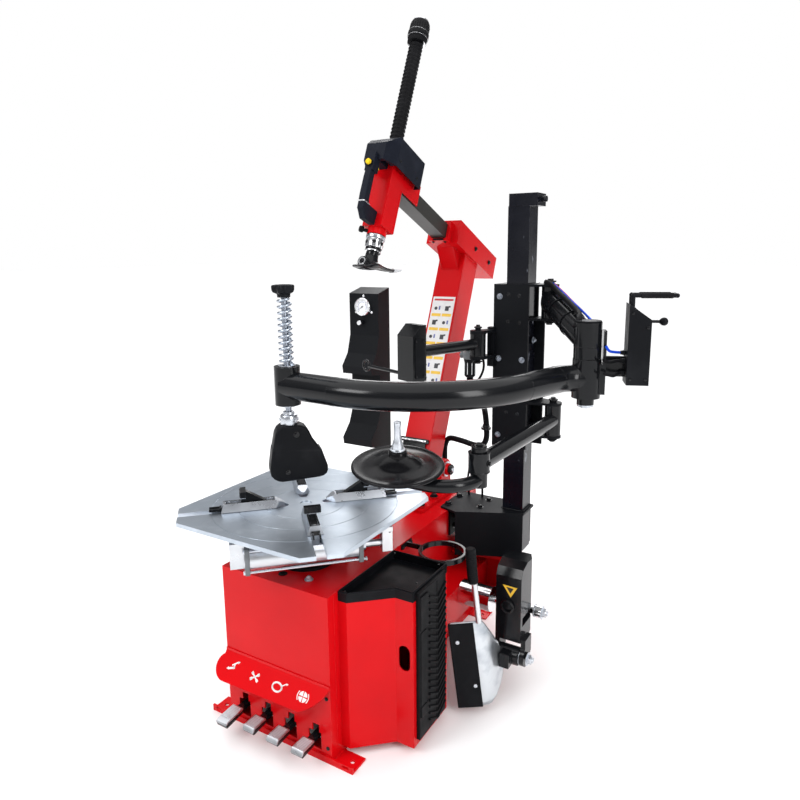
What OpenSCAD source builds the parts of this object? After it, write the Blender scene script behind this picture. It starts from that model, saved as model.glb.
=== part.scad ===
// Tire changer with a leaning tilt-back column and a sliding mount arm, a turntable with
// four sliding jaws, a side bead breaker, and a helper post that carries a spring press
// on a curved arm, a bead lifting disc and a middle arm. Millimetres, +Z up, +Y to the back.
// The origin is on the floor, at the centre of the four floor anchor holes.

/* [Cabinet] */
// Width of the cabinet
cabinet_width = 400; // [380:5:420]
// Depth of the cabinet, front to back
cabinet_depth = 985; // [985:1:1000]
// Height of the cabinet top above the floor
cabinet_height = 520; // [520:1:521]
// Thickness of the cabinet sheet
cabinet_wall = 4; // [3:0.5:4]
// Length of each foot rail across the machine
rail_length = 550; // [530:5:600]
// Thickness of a foot rail plate
rail_plate = 6; // [5:1:8]
// Height of the turned-up lip on a foot rail
rail_lip = 20; // [14:1:26]
// Spacing of the anchor holes across the machine
anchor_spacing_x = 500; // [480:5:510]
// Spacing of the anchor holes front to back
anchor_spacing_y = 920; // [920:1:922]
// Radius of an anchor hole
anchor_radius = 7; // [5:0.5:9]

/* [Pedals] */
// Spacing of the four pedal slots
pedal_spacing = 92; // [88:1:94]
// Width of a pedal slot
pedal_slot_width = 45; // [40:1:48]
// Height of the pedal shaft
pedal_axis_height = 80; // [80:1:82]
// Distance from the front panel back to the pedal shaft
pedal_axis_depth = 180; // [176:1:184]
// Radius of the pedal shaft
pedal_shaft_radius = 8; // [6:0.5:9]
// Width of a foot pad
pedal_pad_width = 40; // [36:1:44]

/* [Side box] */
// Reach of the side box from the cabinet wall
side_box_reach = 192; // [192:1:196]
// Height of the underside of the side box
side_box_bottom = 28; // [25:1:32]
// Height of the top of the side box
side_box_top = 491; // [485:1:495]
// Height of the tray rim above the side box
tray_height = 28; // [22:1:32]
// Thickness of the rubber bead pad
bead_pad_thickness = 18; // [14:1:20]
// Mean radius of the lubricant pot ring
lube_ring_radius = 70; // [66:1:72]

/* [Turntable] */
// Half the width of the square turntable
table_half = 305; // [300:1:310]
// Distance from the centre to a cut-off corner
table_corner_reach = 375; // [370:1:380]
// Thickness of the turntable plate
table_thickness = 12; // [10:1:14]
// Height of the turntable face above the floor
table_top = 704; // [704:1:705]
// Width of a jaw slot in the turntable
jaw_slot_width = 28; // [27:1:30]
// Width of a clamping jaw
jaw_width = 46; // [42:1:50]
// Radius of the turntable shaft
table_shaft_radius = 30; // [26:1:32]
// Radius of a clamp cylinder barrel
clamp_radius = 36; // [34:1:38]
// Distance of a clamp cylinder from the turntable centre line
clamp_offset = 160; // [155:1:165]

/* [Drive] */
// Radius of the motor housing
motor_radius = 70; // [60:1:72]
// Radius of the motor pulley
motor_pulley_radius = 35; // [30:1:40]
// Radius of the gearbox pulley
gearbox_pulley_radius = 75; // [70:1:80]
// Radius of the bead breaker cylinder
breaker_cylinder_radius = 90; // [80:1:92]
// Radius of the tilt cylinder
tilt_cylinder_radius = 35; // [30:1:36]

/* [Column and arm] */
// Lean of the column at rest, back from upright
column_lean = 23; // [22:1:24]
// Width of the column
column_width = 110; // [106:1:112]
// Depth of the column, front to back
column_depth = 130; // [126:1:132]
// Length of the column above its hinge
column_length = 868; // [868:1:868]
// Radius of the hinge pin
hinge_pin_radius = 15; // [13:1:17]
// Width of the arm box on top of the column
arm_box_width = 138; // [134:1:142]
// Width of the slide arm
slide_arm_width = 60; // [58:1:60]
// Height of the slide arm
slide_arm_height = 56; // [54:1:56]
// Corner radius of the hexagonal vertical shaft
hex_radius = 20; // [18:1:20]
// Outer radius of the shaft bellows
bellows_radius = 25; // [24:1:26]

/* [Helper post] */
// Width of the helper post
post_width = 77; // [75:1:77]
// Depth of the helper post
post_depth = 80; // [78:1:80]
// Height of the top of the helper post
post_top = 1605; // [1600:5:1640]
// Radius of the big helper tubes
big_tube_radius = 40; // [37:1:40]
// Plan radius of the long curved arm
curved_arm_bend = 420; // [415:1:425]
// Radius of the press rod
press_rod_radius = 9; // [8:0.5:10]
// Turns of the press spring
spring_turns = 11; // [9:1:12]
// Width of the press block along its lower edge
press_block_width = 166; // [150:1:180]
// Radius of the bead disc
disc_radius = 130; // [120:1:132]
// Lean of the bead disc
disc_lean = 8; // [6:1:9]

/* [Bead breaker] */
// Length of the breaker blade edge, top to bottom
blade_height = 272; // [260:1:276]
// Thickness of the blade plate
blade_thickness = 8; // [6:1:9]
// Lean of the blade towards the bead pad
blade_lean = 8; // [6:1:9]
// Radius of the blade handle rod
handle_rod_radius = 9.5; // [8:0.5:10]

/* [Hidden] */
$fn = 48;

// Clearances: a running fit on a pin, a free gap between moving faces, and the overshoot
// of a cutting tool past the face that it cuts.
fit = 0.05;
gap = 1;
cut = 1;

// Cabinet. The front panel is at y = 0 in the cabinet's own frame.
half_width = cabinet_width / 2;
anchor_front = 30;
centre_y = anchor_front + anchor_spacing_y / 2;
rail_depth = 67;
rail_front = -6;
lip_slot_length = 24;
lip_slot_height = 9;
lid = cabinet_height - cabinet_wall;
inner_x = half_width - cabinet_wall;
inner_back = cabinet_depth - cabinet_wall;

// Turntable and its drive
table_y = 166;
table_bottom = table_top - table_thickness;
neck_radius = 65;
worm_y = 96;
worm_z = 380;
motor_y = 400;
motor_z = 200;
pulley_x = -130;
pulley_width = 26;
drive_shaft_radius = 12;
motor_shelf_z = 112;
belt_thickness = 6;
belt_width = 18;
belt_gap = 0.3;

// Jaws, along each diagonal of the turntable
jaw_inner = 64;
jaw_outer = 250;
slider_width = 60;
slider_bottom = 676;
slider_top = 690;
jaw_base = 705;
jaw_ridge = 742;
clamp_z = 622;
clamp_rod_radius = 10;
clamp_plate_inner = 190;
clamp_plate_outer = 230;
clamp_barrel_front = 140;

// Column hinge, tilt cylinder and lever
hinge_y = 940;
hinge_z = 600;
column_front = 119;
column_wall = 4;
column_half = column_width / 2;
column_back = column_front - column_depth;
column_foot = -30;
cheek_radius = 36;
ear_inner = 62;
ear_outer = 88;
lever_z = 456;
lever_length = hinge_z - lever_z;
lever_y = hinge_y - lever_length * tan(column_lean);
lever_plate_in = 20;
lever_plate_out = 28;
lever_half = 15;
tilt_pin_radius = 9;
tilt_rod_radius = 14;

// Arm box, slide arm and head, in the column's own frame: f forward, u up along the column
arm_half = arm_box_width / 2;
arm_u0 = column_length;
arm_u1 = 965;
arm_front = 230;
arm_rear = -164;
slide_half = slide_arm_width / 2;
slide_u0 = 878;
slide_u1 = slide_u0 + slide_arm_height;
slide_front = 640;
slide_rear = 50;
head_f = 680;
head_front = 718;
head_half = 38;
head_u0 = 722;
head_u1 = 960;
ring_u0 = 700;
cover_u1 = 1025;
cap_u0 = 1430;
shaft_top = 1520;
shaft_bottom = 655;
handle_front = 800;
button_u = 905;

// Bead breaker
breaker_pivot_x = 440;
breaker_pivot_y = 840;
breaker_pin_radius = 16;
breaker_barrel_radius = 34;
breaker_barrel_z0 = 192;
breaker_barrel_z1 = 338;
rod_y = 655;
rod_z = 262;
housing_x = 300;
housing_front = 420;
housing_back = 893;
housing_z0 = 170;
housing_z1 = 292;
breaker_rod_radius = 12.5;
blade_y = 560;
blade_z = 150;
blade_pin_radius = 12;

// Helper post and its arms
post_x0 = 375;
post_x1 = post_x0 + post_width;
post_y0 = 834;
post_y1 = post_y0 + post_depth;
post_z0 = 372;
post_wall = 5;
post_cx = (post_x0 + post_x1) / 2;
post_cy = (post_y0 + post_y1) / 2;
carriage_z0 = 765;
carriage_z1 = 1342;
carriage_x0 = 333;
carriage_x1 = 460;
carriage_plate = 8;
guide_gap = 0.3;
upper_pin = [518, 870];
upper_pin_radius = 14;
upper_ear_z0 = 1222;
upper_ear_z1 = 1337;
ear_plate = 8;
elbow = [725, 600];
elbow_pin_radius = 16;
link_sleeve_z0 = 1145;
link_sleeve_z1 = 1251;
arm_z = 1085;
press = [6, 98];
curved_heading = -3.73;
curved_turn = 76.6;
curved_run_in = 175.4;
curved_run_out = 153.3;
elbow_bend = 100;
elbow_turn = 42.9;
press_sleeve_radius = 37;
press_sleeve_z0 = 1029;
press_sleeve_z1 = 1141;
lower_pin = [541, 870];
lower_pin_radius = 12;
knuckle = [525, 281];
knuckle_pin_radius = 14;
disc_arm_radius = 19;
disc_arm_z = 834;
disc_bend = 110;
disc_y = knuckle[1] - disc_bend;
disc_x = 329;
disc_z = 873;
disc_lean_turn = -58.5;
spindle_radius = 9;
middle_pin = [302, 760];
middle_pin_radius = 10;
middle_turn = -111.4;
middle_z = 1140;
block_turn = 47.5;

// Route of the air conduit, from the gland on the cabinet's back to the filter
conduit_radius = 13;
conduit_route = [
    [36, 985, 470], [36, 1030, 470], [36, 1030, 706], [185, 1030, 686],
    [222, 1030, 722], [214, 1030, 840], [254, 800, 1000]
];

// Colours
machine_red = "crimson";
dark_red = "firebrick";
frame_black = [0.07, 0.07, 0.08];
rubber_black = [0.13, 0.13, 0.14];
steel = [0.72, 0.73, 0.75];
zinc = [0.82, 0.83, 0.85];
motor_grey = [0.45, 0.47, 0.5];
signal_yellow = "gold";
blue_plastic = "royalblue";

// Moves the cabinet's own frame so that the origin lies between the anchor holes.
module place() {
    translate([0, -centre_y, 0]) children();
}

// The column's leaning frame: x across, -y forward, z up along the column.
module lean() {
    place() translate([0, hinge_y, hinge_z]) rotate([-column_lean, 0, 0]) children();
}

module block(x0, x1, y0, y1, z0, z1) {
    translate([x0, y0, z0]) cube([x1 - x0, y1 - y0, z1 - z0]);
}

// A block in the leaning frame, from f0 to f1 forward.
module lean_block(half, f0, f1, u0, u1) {
    block(-half, half, -f1, -f0, u0, u1);
}

module rod_along_x(x0, x1, y, z, r) {
    translate([x0, y, z]) rotate([0, 90, 0]) cylinder(h = x1 - x0, r = r);
}

module rod_along_y(x, y0, y1, z, r) {
    translate([x, y1, z]) rotate([90, 0, 0]) cylinder(h = y1 - y0, r = r);
}

module rod_up(x, y, z0, z1, r) {
    translate([x, y, z0]) cylinder(h = z1 - z0, r = r);
}

module both_sides() {
    children();
    mirror([1, 0, 0]) children();
}

// A round bar from one point to another.
module strut(from, to, r) {
    way = to - from;
    reach = norm(way);
    translate(from)
        rotate([0, acos(way[2] / reach), atan2(way[1], way[0])])
            cylinder(h = reach, r = r);
}

// A side outline, given in y and z, made solid from x0 to x1.
module side_plate(x0, x1, outline) {
    translate([x0, 0, 0])
        rotate([90, 0, 90])
            linear_extrude(height = x1 - x0) polygon(outline);
}

// A slot with round ends along x, for a linear_extrude.
module stadium(length, r) {
    square([length - 2 * r, 2 * r], center = true);
    for (side = [-1, 1]) translate([side * (length / 2 - r), 0]) circle(r = r);
}

// A tube that runs on along x after a left-hand bend in plan.
module bend_left(bend, turn, r) {
    translate([0, bend, 0])
        rotate([0, 0, -90])
            rotate_extrude(angle = turn, $fn = 96) translate([bend, 0]) circle(r = r);
}

module after_left(bend, turn) {
    translate([bend * sin(turn), bend * (1 - cos(turn)), 0]) rotate([0, 0, turn]) children();
}

module run(length, r) {
    rotate([0, 90, 0]) cylinder(h = length, r = r);
}

// The ground-down weld where two lengths of a tube meet.
module weld_ring(r) {
    translate([-2, 0, 0]) run(4, r + 0.4);
}

// ---- Cabinet ----

module foot_rail(y0, lip_y) {
    difference() {
        union() {
            block(-rail_length / 2, rail_length / 2, y0, y0 + rail_depth, 0, rail_plate);
            block(-rail_length / 2, rail_length / 2, lip_y, lip_y + rail_plate, 0, rail_lip);
        }
        for (side = [-1, 1])
            translate([side * anchor_spacing_x / 2, lip_y - cut, (rail_lip + rail_plate) / 2])
                rotate([-90, 0, 0])
                    linear_extrude(height = rail_plate + 2 * cut)
                        stadium(lip_slot_length, lip_slot_height / 2);
    }
}

module anchor_holes() {
    for (x = [-1, 1], y = [anchor_front, anchor_front + anchor_spacing_y])
        rod_up(x * anchor_spacing_x / 2, y, -cut, rail_lip + cut, anchor_radius);
}

function pedal_x(i) = (i - 1.5) * pedal_spacing + 1;

module pedal_slots() {
    notch = 24;
    for (i = [0:3]) {
        block(pedal_x(i) - pedal_slot_width / 2, pedal_x(i) + pedal_slot_width / 2,
            -cut, cabinet_wall + cut, 31, 85);
        block(pedal_x(i) - notch / 2 + 4, pedal_x(i) + notch / 2 + 4,
            -cut, cabinet_wall + cut, 80, 109);
    }
}

module breaker_bracket() {
    plate = 12;
    rear_y = housing_back;
    for (z = [breaker_barrel_z0 - gap - plate, breaker_barrel_z1 + gap])
        translate([0, 0, z]) linear_extrude(height = plate) {
            polygon([[half_width, 770], [breaker_pivot_x, 804],
                [breaker_pivot_x, rear_y - 16], [half_width, rear_y]]);
            translate([breaker_pivot_x, breaker_pivot_y]) circle(r = breaker_barrel_radius + 2);
        }
    block(half_width, breaker_pivot_x - 60, rear_y - plate - 6, rear_y - 8,
        breaker_barrel_z0 - gap, breaker_barrel_z1 + gap);
    difference() {
        block(half_width, housing_x, housing_front, housing_back, housing_z0, housing_z1);
        block(half_width + cabinet_wall, housing_x - cabinet_wall,
            housing_front + cabinet_wall, housing_back - cabinet_wall,
            housing_z0 - cut, housing_z1 - cabinet_wall);
    }
    rod_up(breaker_pivot_x, breaker_pivot_y, breaker_barrel_z0 - 24,
        breaker_barrel_z1 + 24, breaker_pin_radius);
}

module cabinet_shell() color(machine_red) place() {
    difference() {
        union() {
            difference() {
                block(-half_width, half_width, 0, cabinet_depth, 0, cabinet_height);
                block(-inner_x, inner_x, cabinet_wall, inner_back, -cut, lid);
            }
            foot_rail(rail_front, rail_front);
            foot_rail(cabinet_depth + 8 - rail_depth, cabinet_depth + 8 - rail_plate);
            block(-inner_x, inner_x, 320, 480, motor_shelf_z, motor_shelf_z + cabinet_wall);
            breaker_bracket();
        }
        anchor_holes();
        pedal_slots();
        rod_up(0, table_y, lid - cut, cabinet_height + cut, neck_radius);
        block(-40, 40, 880, 965, lid - cut, cabinet_height + cut);
        rod_along_x(inner_x - cut, housing_x + cut, rod_y, rod_z, breaker_rod_radius + 2);
    }
}

// Points along an arc, from one angle to another.
function arc_points(centre, r, from, to, steps = 12) = [
    for (i = [0:steps]) let (a = from + (to - from) * i / steps) centre + r * [cos(a), sin(a)]
];

// The folded kick apron over the pedals, with its round ends.
module pedal_apron() color(machine_red) place() {
    fold_z = 240;
    flange = 8;
    slope = 35;
    sheet = 3;
    block(-half_width, half_width, -sheet, 0, fold_z - flange, fold_z + flange);
    translate([0, -sheet, fold_z])
        rotate([-90 - slope, 0, 0])
            linear_extrude(height = sheet)
                polygon(concat(
                    [[-half_width, 0], [half_width, 0]],
                    arc_points([50, -63], 162.7, 24, 64),
                    arc_points([-176, 46], 42, 90, 235)
                ));
}

// ---- Pedals ----

module pedal_shaft() color(steel) place() {
    rod_along_x(-inner_x, inner_x, pedal_axis_depth, pedal_axis_height, pedal_shaft_radius);
}

module pedal(i, reach) color(frame_black)
    place() translate([pedal_x(i), pedal_axis_depth, pedal_axis_height]) {
        half = pedal_pad_width / 2;
        difference() {
            union() {
                rod_along_x(-15, 15, 0, 0, 16);
                block(-8, 8, -220, 0, -22, -4);
                side_plate(-half, half, [
                    [-266 - reach, -12], [-258 - reach, -1 - reach / 4], [-210, -1],
                    [-210, -16], [-262 - reach, -20 - reach / 4]
                ]);
                side_plate(-half + 8, half - 8, [
                    [-250, -30], [-250, -14], [-206, -14], [-206, -22]
                ]);
            }
            rod_along_x(-16, 16, 0, 0, pedal_shaft_radius + fit);
        }
    }

module pedal_1() pedal(0, 16);
module pedal_2() pedal(1, 0);
module pedal_3() pedal(2, 0);
module pedal_4() pedal(3, 0);

// ---- Side box and tray ----

// The plan outline of the side box, drawn in by a given amount on every side.
function side_outline(inset) = let (
    x0 = half_width + inset,
    x1 = half_width + side_box_reach - inset,
    mitre = inset * 0.384
) [
    [x0, 48 + inset], [x0, 350 - inset], [x1, 350 - inset],
    [x1, 141 + inset], [333 - mitre, 141 + inset], [230 - mitre, 48 + inset]
];

module side_box() color(machine_red) place() {
    wall = 3;
    difference() {
        translate([0, 0, side_box_bottom])
            linear_extrude(height = side_box_top - side_box_bottom) polygon(side_outline(0));
        translate([0, 0, side_box_bottom + wall])
            linear_extrude(height = side_box_top) polygon(side_outline(wall));
        translate([362, 141 + wall + cut, 310])
            rotate([90, 90, 0])
                linear_extrude(height = wall + 2 * cut) stadium(79, 18.5);
    }
}

module tool_tray() color(frame_black) place() {
    floor_plate = 4;
    rim = 3;
    translate([0, 0, side_box_top]) difference() {
        linear_extrude(height = tray_height) polygon(side_outline(0));
        translate([0, 0, floor_plate])
            linear_extrude(height = tray_height) polygon(side_outline(rim));
    }
}

module bead_pad() color(rubber_black) place() {
    x0 = half_width + side_box_reach;
    rib_pitch = 24;
    rib = 6;
    z0 = 50;
    z1 = 515;
    y0 = 156;
    y1 = 320;
    difference() {
        block(x0, x0 + bead_pad_thickness, y0, y1, z0, z1);
        for (z = [z0 + rib_pitch : rib_pitch : z1 - rib_pitch])
            block(x0 + bead_pad_thickness - rib, x0 + bead_pad_thickness + cut,
                y0 + rib, y1 - rib, z - rib / 2, z + rib / 2);
    }
}

module lube_ring() color(steel) place() {
    ring_y = 430;
    ring_x = 335;
    strip = 3;
    rim = 7;
    z0 = 501;
    z1 = 517;
    difference() {
        union() {
            rod_up(ring_x, ring_y, z0, z1, lube_ring_radius + rim);
            block(half_width, ring_x, ring_y - strip, ring_y + strip, z0, z1);
            block(half_width, half_width + strip, ring_y - 34, ring_y + 34, z0, z1);
        }
        rod_up(ring_x, ring_y, z0 - cut, z1 + cut, lube_ring_radius - strip / 2);
    }
}

// ---- Drive inside the cabinet ----

module gearbox() color(motor_grey) place() {
    bore_bottom = 440;
    difference() {
        union() {
            rod_up(0, table_y, 330, lid, 90);
            block(-80, 80, worm_y - 32, worm_y + 60, worm_z - 35, worm_z + 35);
            rod_up(0, table_y, lid - cut, cabinet_height + cut, neck_radius - 0.3);
            rod_up(0, table_y, cabinet_height, 528, 88);
            rod_up(0, table_y, 527, 545, 72);
        }
        rod_up(0, table_y, bore_bottom, 546, table_shaft_radius + fit);
        rod_along_x(-81, -20, worm_y, worm_z, drive_shaft_radius + fit);
    }
}

module pulley(r, shaft_end) {
    groove = 3;
    difference() {
        rod_along_x(pulley_x - pulley_width / 2, pulley_x + pulley_width / 2, 0, 0, r + groove);
        rotate([0, 90, 0]) translate([0, 0, pulley_x]) difference() {
            cylinder(h = belt_width + 2 * gap, r = r + 2 * groove, center = true);
            cylinder(h = belt_width + 4 * gap, r = r, center = true);
        }
    }
    rod_along_x(pulley_x, shaft_end, 0, 0, drive_shaft_radius);
}

module gearbox_pulley() color(motor_grey) place() {
    translate([0, worm_y, worm_z]) pulley(gearbox_pulley_radius, -25);
}

module motor() color(motor_grey) place() {
    difference() {
        union() {
            rod_along_x(-100, 100, motor_y, motor_z, motor_radius);
            block(-70, 70, motor_y - 60, motor_y + 60, motor_shelf_z + cabinet_wall, 140);
            block(-30, 40, motor_y - 26, motor_y + 26, motor_z, 290);
        }
        rod_along_x(-101, -40, motor_y, motor_z, drive_shaft_radius + fit);
    }
}

module motor_pulley() color(motor_grey) place() {
    translate([0, motor_y, motor_z]) pulley(motor_pulley_radius, -45);
}

// The outline of a belt run over both pulleys, grown by a given amount.
module belt_outline(grow) hull() {
    circle(r = gearbox_pulley_radius + grow, $fn = 96);
    translate([motor_y - worm_y, motor_z - worm_z])
        circle(r = motor_pulley_radius + grow, $fn = 96);
}

module drive_belt() color(rubber_black) place() {
    translate([pulley_x - belt_width / 2, worm_y, worm_z])
        rotate([90, 0, 90])
            linear_extrude(height = belt_width) difference() {
                belt_outline(belt_gap + belt_thickness);
                belt_outline(belt_gap);
            }
}

// ---- Turntable ----

module on_table() {
    place() translate([0, table_y, 0]) children();
}

module turntable() color(steel) on_table() {
    slot_inner = 66;
    guide_in = slider_width / 2 + 2;
    guide_width = 10;
    groove_depth = 1;
    difference() {
        translate([0, 0, table_bottom]) linear_extrude(height = table_thickness) intersection() {
            square(2 * table_half, center = true);
            rotate([0, 0, 45]) square(2 * table_corner_reach, center = true);
        }
        for (turn = [45:90:315]) rotate([0, 0, turn]) {
            block(slot_inner, table_corner_reach + cut, -jaw_slot_width / 2,
                jaw_slot_width / 2, table_bottom - cut, table_top + cut);
            rod_up(slot_inner, 0, table_bottom - cut, table_top + cut, jaw_slot_width / 2);
        }
        for (r = [120, 200, 280]) translate([0, 0, table_top - groove_depth]) difference() {
            cylinder(h = groove_depth + cut, r = r + groove_depth, $fn = 96);
            translate([0, 0, -cut]) cylinder(h = groove_depth + 3 * cut, r = r - groove_depth, $fn = 96);
        }
        rod_up(0, 0, table_top - 3, table_top + cut, 18);
    }
    rod_up(0, 0, 450, table_bottom, table_shaft_radius);
    rod_up(0, 0, 560, 600, 52);
    rod_up(0, 0, 600, table_bottom, 42);
    for (turn = [45:90:315], side = [-1, 1]) rotate([0, 0, turn])
        block(100, 330, side > 0 ? guide_in : -guide_in - guide_width,
            side > 0 ? guide_in + guide_width : -guide_in, slider_bottom + 2, table_bottom);
}

// One jaw, drawn along +x and turned onto its diagonal: a slider under the plate, a boat-shaped
// carriage on it, and a hook with a cross head that grips the rim.
module jaw(turn) color(zinc) on_table() rotate([0, 0, turn]) {
    half = jaw_width / 2;
    neck = jaw_slot_width / 2 - 2;
    rim = jaw_base + 24;
    hook_top = 764;
    block(jaw_inner + 16, jaw_outer + 30, -slider_width / 2, slider_width / 2,
        slider_bottom, slider_top);
    block(jaw_inner + 20, jaw_outer - 10, -neck, neck, slider_top - cut, jaw_base + cut);
    difference() {
        translate([0, half, 0]) rotate([90, 0, 0]) linear_extrude(height = jaw_width)
            polygon([
                [jaw_inner, jaw_base], [jaw_outer, jaw_base], [jaw_outer - 6, rim],
                [jaw_inner + 26, rim], [jaw_inner, jaw_base + 10]
            ]);
        for (side = [-1, 1]) translate([0, side * half, jaw_base])
            rotate([side * 20, 0, 0])
                translate([0, side > 0 ? 0 : -half, -10]) cube([jaw_outer + cut, half, 60]);
        for (side = [-1, 1]) translate([jaw_inner, side * 4, jaw_base - cut])
            rotate([0, 0, side * 36])
                translate([-20, side > 0 ? 0 : -40, 0]) cube([60, 40, 60]);
        block(jaw_inner + 30, jaw_outer - 14, -10, 10, jaw_base + 8, rim + cut);
    }
    translate([0, 9, 0]) rotate([90, 0, 0]) linear_extrude(height = 18)
        polygon([[110, jaw_base + 7], [122, rim], [180, hook_top], [190, hook_top],
            [192, jaw_base + 7]]);
    block(178, 192, -half, half, hook_top - 20, hook_top);
}

module jaw_1() jaw(45);
module jaw_2() jaw(135);
module jaw_3() jaw(225);
module jaw_4() jaw(315);

module clamp_end(s0, s1, post_s) {
    plate_z = 662;
    block(s0, s1, -clamp_offset - 25, clamp_offset + 25, plate_z, slider_bottom);
    for (side = [-1, 1])
        block(post_s[0], post_s[1], side * clamp_offset - 20, side * clamp_offset + 20,
            clamp_z - 22, plate_z);
}

// Both barrels and their cross plate, which the left-hand jaw carries.
module clamp_barrels() color(steel) on_table() rotate([0, 0, 45]) {
    difference() {
        union() {
            for (side = [-1, 1])
                rod_along_x(-clamp_plate_inner - 2, clamp_barrel_front, side * clamp_offset,
                    clamp_z, clamp_radius);
            clamp_end(-clamp_plate_outer, -clamp_plate_inner,
                [-clamp_plate_outer, -clamp_plate_inner]);
        }
        for (side = [-1, 1])
            rod_along_x(-130, clamp_barrel_front + cut, side * clamp_offset, clamp_z,
                clamp_rod_radius + fit);
    }
}

// Both rods and their cross plate, which the right-hand jaw carries.
module clamp_rods() color(steel) on_table() rotate([0, 0, 45]) {
    for (side = [-1, 1])
        rod_along_x(-80, clamp_plate_inner + 12, side * clamp_offset, clamp_z, clamp_rod_radius);
    clamp_end(clamp_plate_inner, clamp_plate_outer, [clamp_plate_inner + 10, clamp_plate_outer]);
}

// ---- Column hinge and tilt drive ----

module hinge_bracket() color(machine_red) place() {
    plate_top = 532;
    difference() {
        block(-135, 135, 655, cabinet_depth, cabinet_height, plate_top);
        block(-40, 40, 880, 965, cabinet_height - cut, plate_top + cut);
    }
    both_sides() {
        block(ear_inner, ear_outer, hinge_y - 40, hinge_y + 40, plate_top, hinge_z);
        rod_along_x(ear_inner, ear_outer, hinge_y, hinge_z, 40);
        rod_along_x(ear_outer, 104, hinge_y, hinge_z, 24);
        for (y = [683, 786, 897]) rod_up(115, y, plate_top, plate_top + 9, 10);
    }
    rod_along_x(-ear_inner, ear_inner, hinge_y, hinge_z, hinge_pin_radius);
}

module tilt_cylinder() color(frame_black) place() {
    difference() {
        union() {
            rod_along_y(0, 600, 800, lever_z, tilt_cylinder_radius);
            for (y = [612, 762]) block(-30, 30, y, y + 26, lever_z, lid);
        }
        rod_along_y(0, 630, 801, lever_z, tilt_rod_radius + fit);
    }
}

module tilt_rod() color(steel) place() {
    rod_along_y(0, 640, lever_y, lever_z, tilt_rod_radius);
    rod_along_x(-18, 18, lever_y, lever_z, 20);
    rod_along_x(-34, 34, lever_y, lever_z, tilt_pin_radius);
}

module column() color(machine_red) lean() {
    wall = column_wall;
    slot_slack = 1.6;
    slot_in = lever_length - tilt_pin_radius - 3;
    slot_out = lever_length / cos(column_lean) + tilt_pin_radius + 3;
    diaphragm = 60;
    difference() {
        union() {
            lean_block(column_half, column_back, column_front, cheek_radius, column_length);
            lean_block(column_half, 0, column_front, column_foot, cheek_radius);
            rod_along_x(-column_half, column_half, 0, 0, cheek_radius);
            lean_block(column_half, column_back, 0, 0, cheek_radius);
        }
        lean_block(column_half - wall, column_back + wall, column_front - wall,
            diaphragm + 6, column_length - wall);
        lean_block(column_half - wall, -cheek_radius - cut, column_front - wall,
            -cheek_radius - cut, diaphragm);
        rod_along_x(-column_half - cut, column_half + cut, 0, 0, hinge_pin_radius + fit);
    }
    both_sides() difference() {
        union() {
            block(lever_plate_in, lever_plate_out, -lever_half, lever_half, -180,
                diaphragm + cut);
            rod_along_x(lever_plate_in, lever_plate_out, 0, 0, 26);
        }
        rod_along_x(lever_plate_in - cut, lever_plate_out + cut, 0, 0, hinge_pin_radius + fit);
        block(lever_plate_in - cut, lever_plate_out + cut, -tilt_pin_radius - slot_slack,
            tilt_pin_radius + slot_slack, -slot_out, -slot_in);
    }
}

module arm_box() color(machine_red) lean() {
    wall = 4;
    side_gap = 1;
    difference() {
        union() {
            lean_block(arm_half, arm_rear, arm_front, arm_u0, arm_u1);
            lean_block(42, arm_front, 262, arm_u0 - 2, arm_u1 - 17);
        }
        lean_block(slide_half + side_gap, arm_rear + wall, 262 + cut,
            slide_u0 - side_gap, slide_u1 + side_gap);
    }
    translate([0, -column_front, 0]) side_plate(-35, 35,
        [[0, 800], [0, arm_u0], [-77, arm_u0]]);
}

module slide_arm() color([0.25, 0.25, 0.27]) lean() {
    lean_block(slide_half, slide_rear, slide_front, slide_u0, slide_u1);
}

// The hexagonal bore that keeps the vertical shaft from turning.
module hex_bar(r, u0, u1) {
    translate([0, -head_f, u0]) cylinder(h = u1 - u0, r = r, $fn = 6);
}

module head_body() color(machine_red) lean() {
    cheek = 6;
    difference() {
        union() {
            lean_block(head_half, slide_front, head_front, head_u0, head_u1);
            rod_up(0, -head_f, ring_u0, head_u0 + cut, 33);
        }
        hex_bar(hex_radius + fit, ring_u0 - cut, head_u1 + cut);
    }
    both_sides() block(slide_half, slide_half + cheek, -slide_front, -520, 885, 960);
}

// The black cover over the head, with the guide handle and the valve block.
module head_cover() color(frame_black) lean() {
    skirt = 4;
    side = 62;
    difference() {
        translate([0, 0, 925]) linear_extrude(height = cover_u1 - 925)
            polygon([[-side, -565], [side, -565], [side, -735], [head_half, -785],
                [-head_half, -785], [-side, -735]]);
        lean_block(side - skirt, 565 + skirt, 735, 925 - cut, head_u1);
        lean_block(head_half + gap, 565 - cut, 565 + skirt + cut, 925 - cut, head_u1 + gap);
        lean_block(head_half, 735 - cut, 770, 925 - cut, 948);
        translate([0, -785, 985]) rotate([-48, 0, 0]) block(-70, 70, -60, 0, -60, 80);
        rod_up(0, -head_f, 920, cover_u1 + cut, hex_radius + 2);
    }
    difference() {
        union() {
            block(-16, 16, -handle_front, -768, 880, 945);
            block(-12, 12, -handle_front, -778, 760, 880);
            block(-12, 12, -handle_front, -head_front, 745, 770);
            block(-16, 16, -768, -head_front, 925, 945);
        }
        rod_along_y(0, -801, -788, button_u, 6 + fit);
        rod_along_y(0, -780, -767, button_u, 6 + fit);
    }
}

// A push button of the shaft lock valve: stem in the block and a cap outside.
module lock_button(f_stem, f_face, f_cap) {
    lean() {
        rod_along_y(0, -max(f_stem, f_face), -min(f_stem, f_face), button_u, 6);
        rod_along_y(0, -max(f_face, f_cap), -min(f_face, f_cap), button_u, 9);
    }
}

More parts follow.
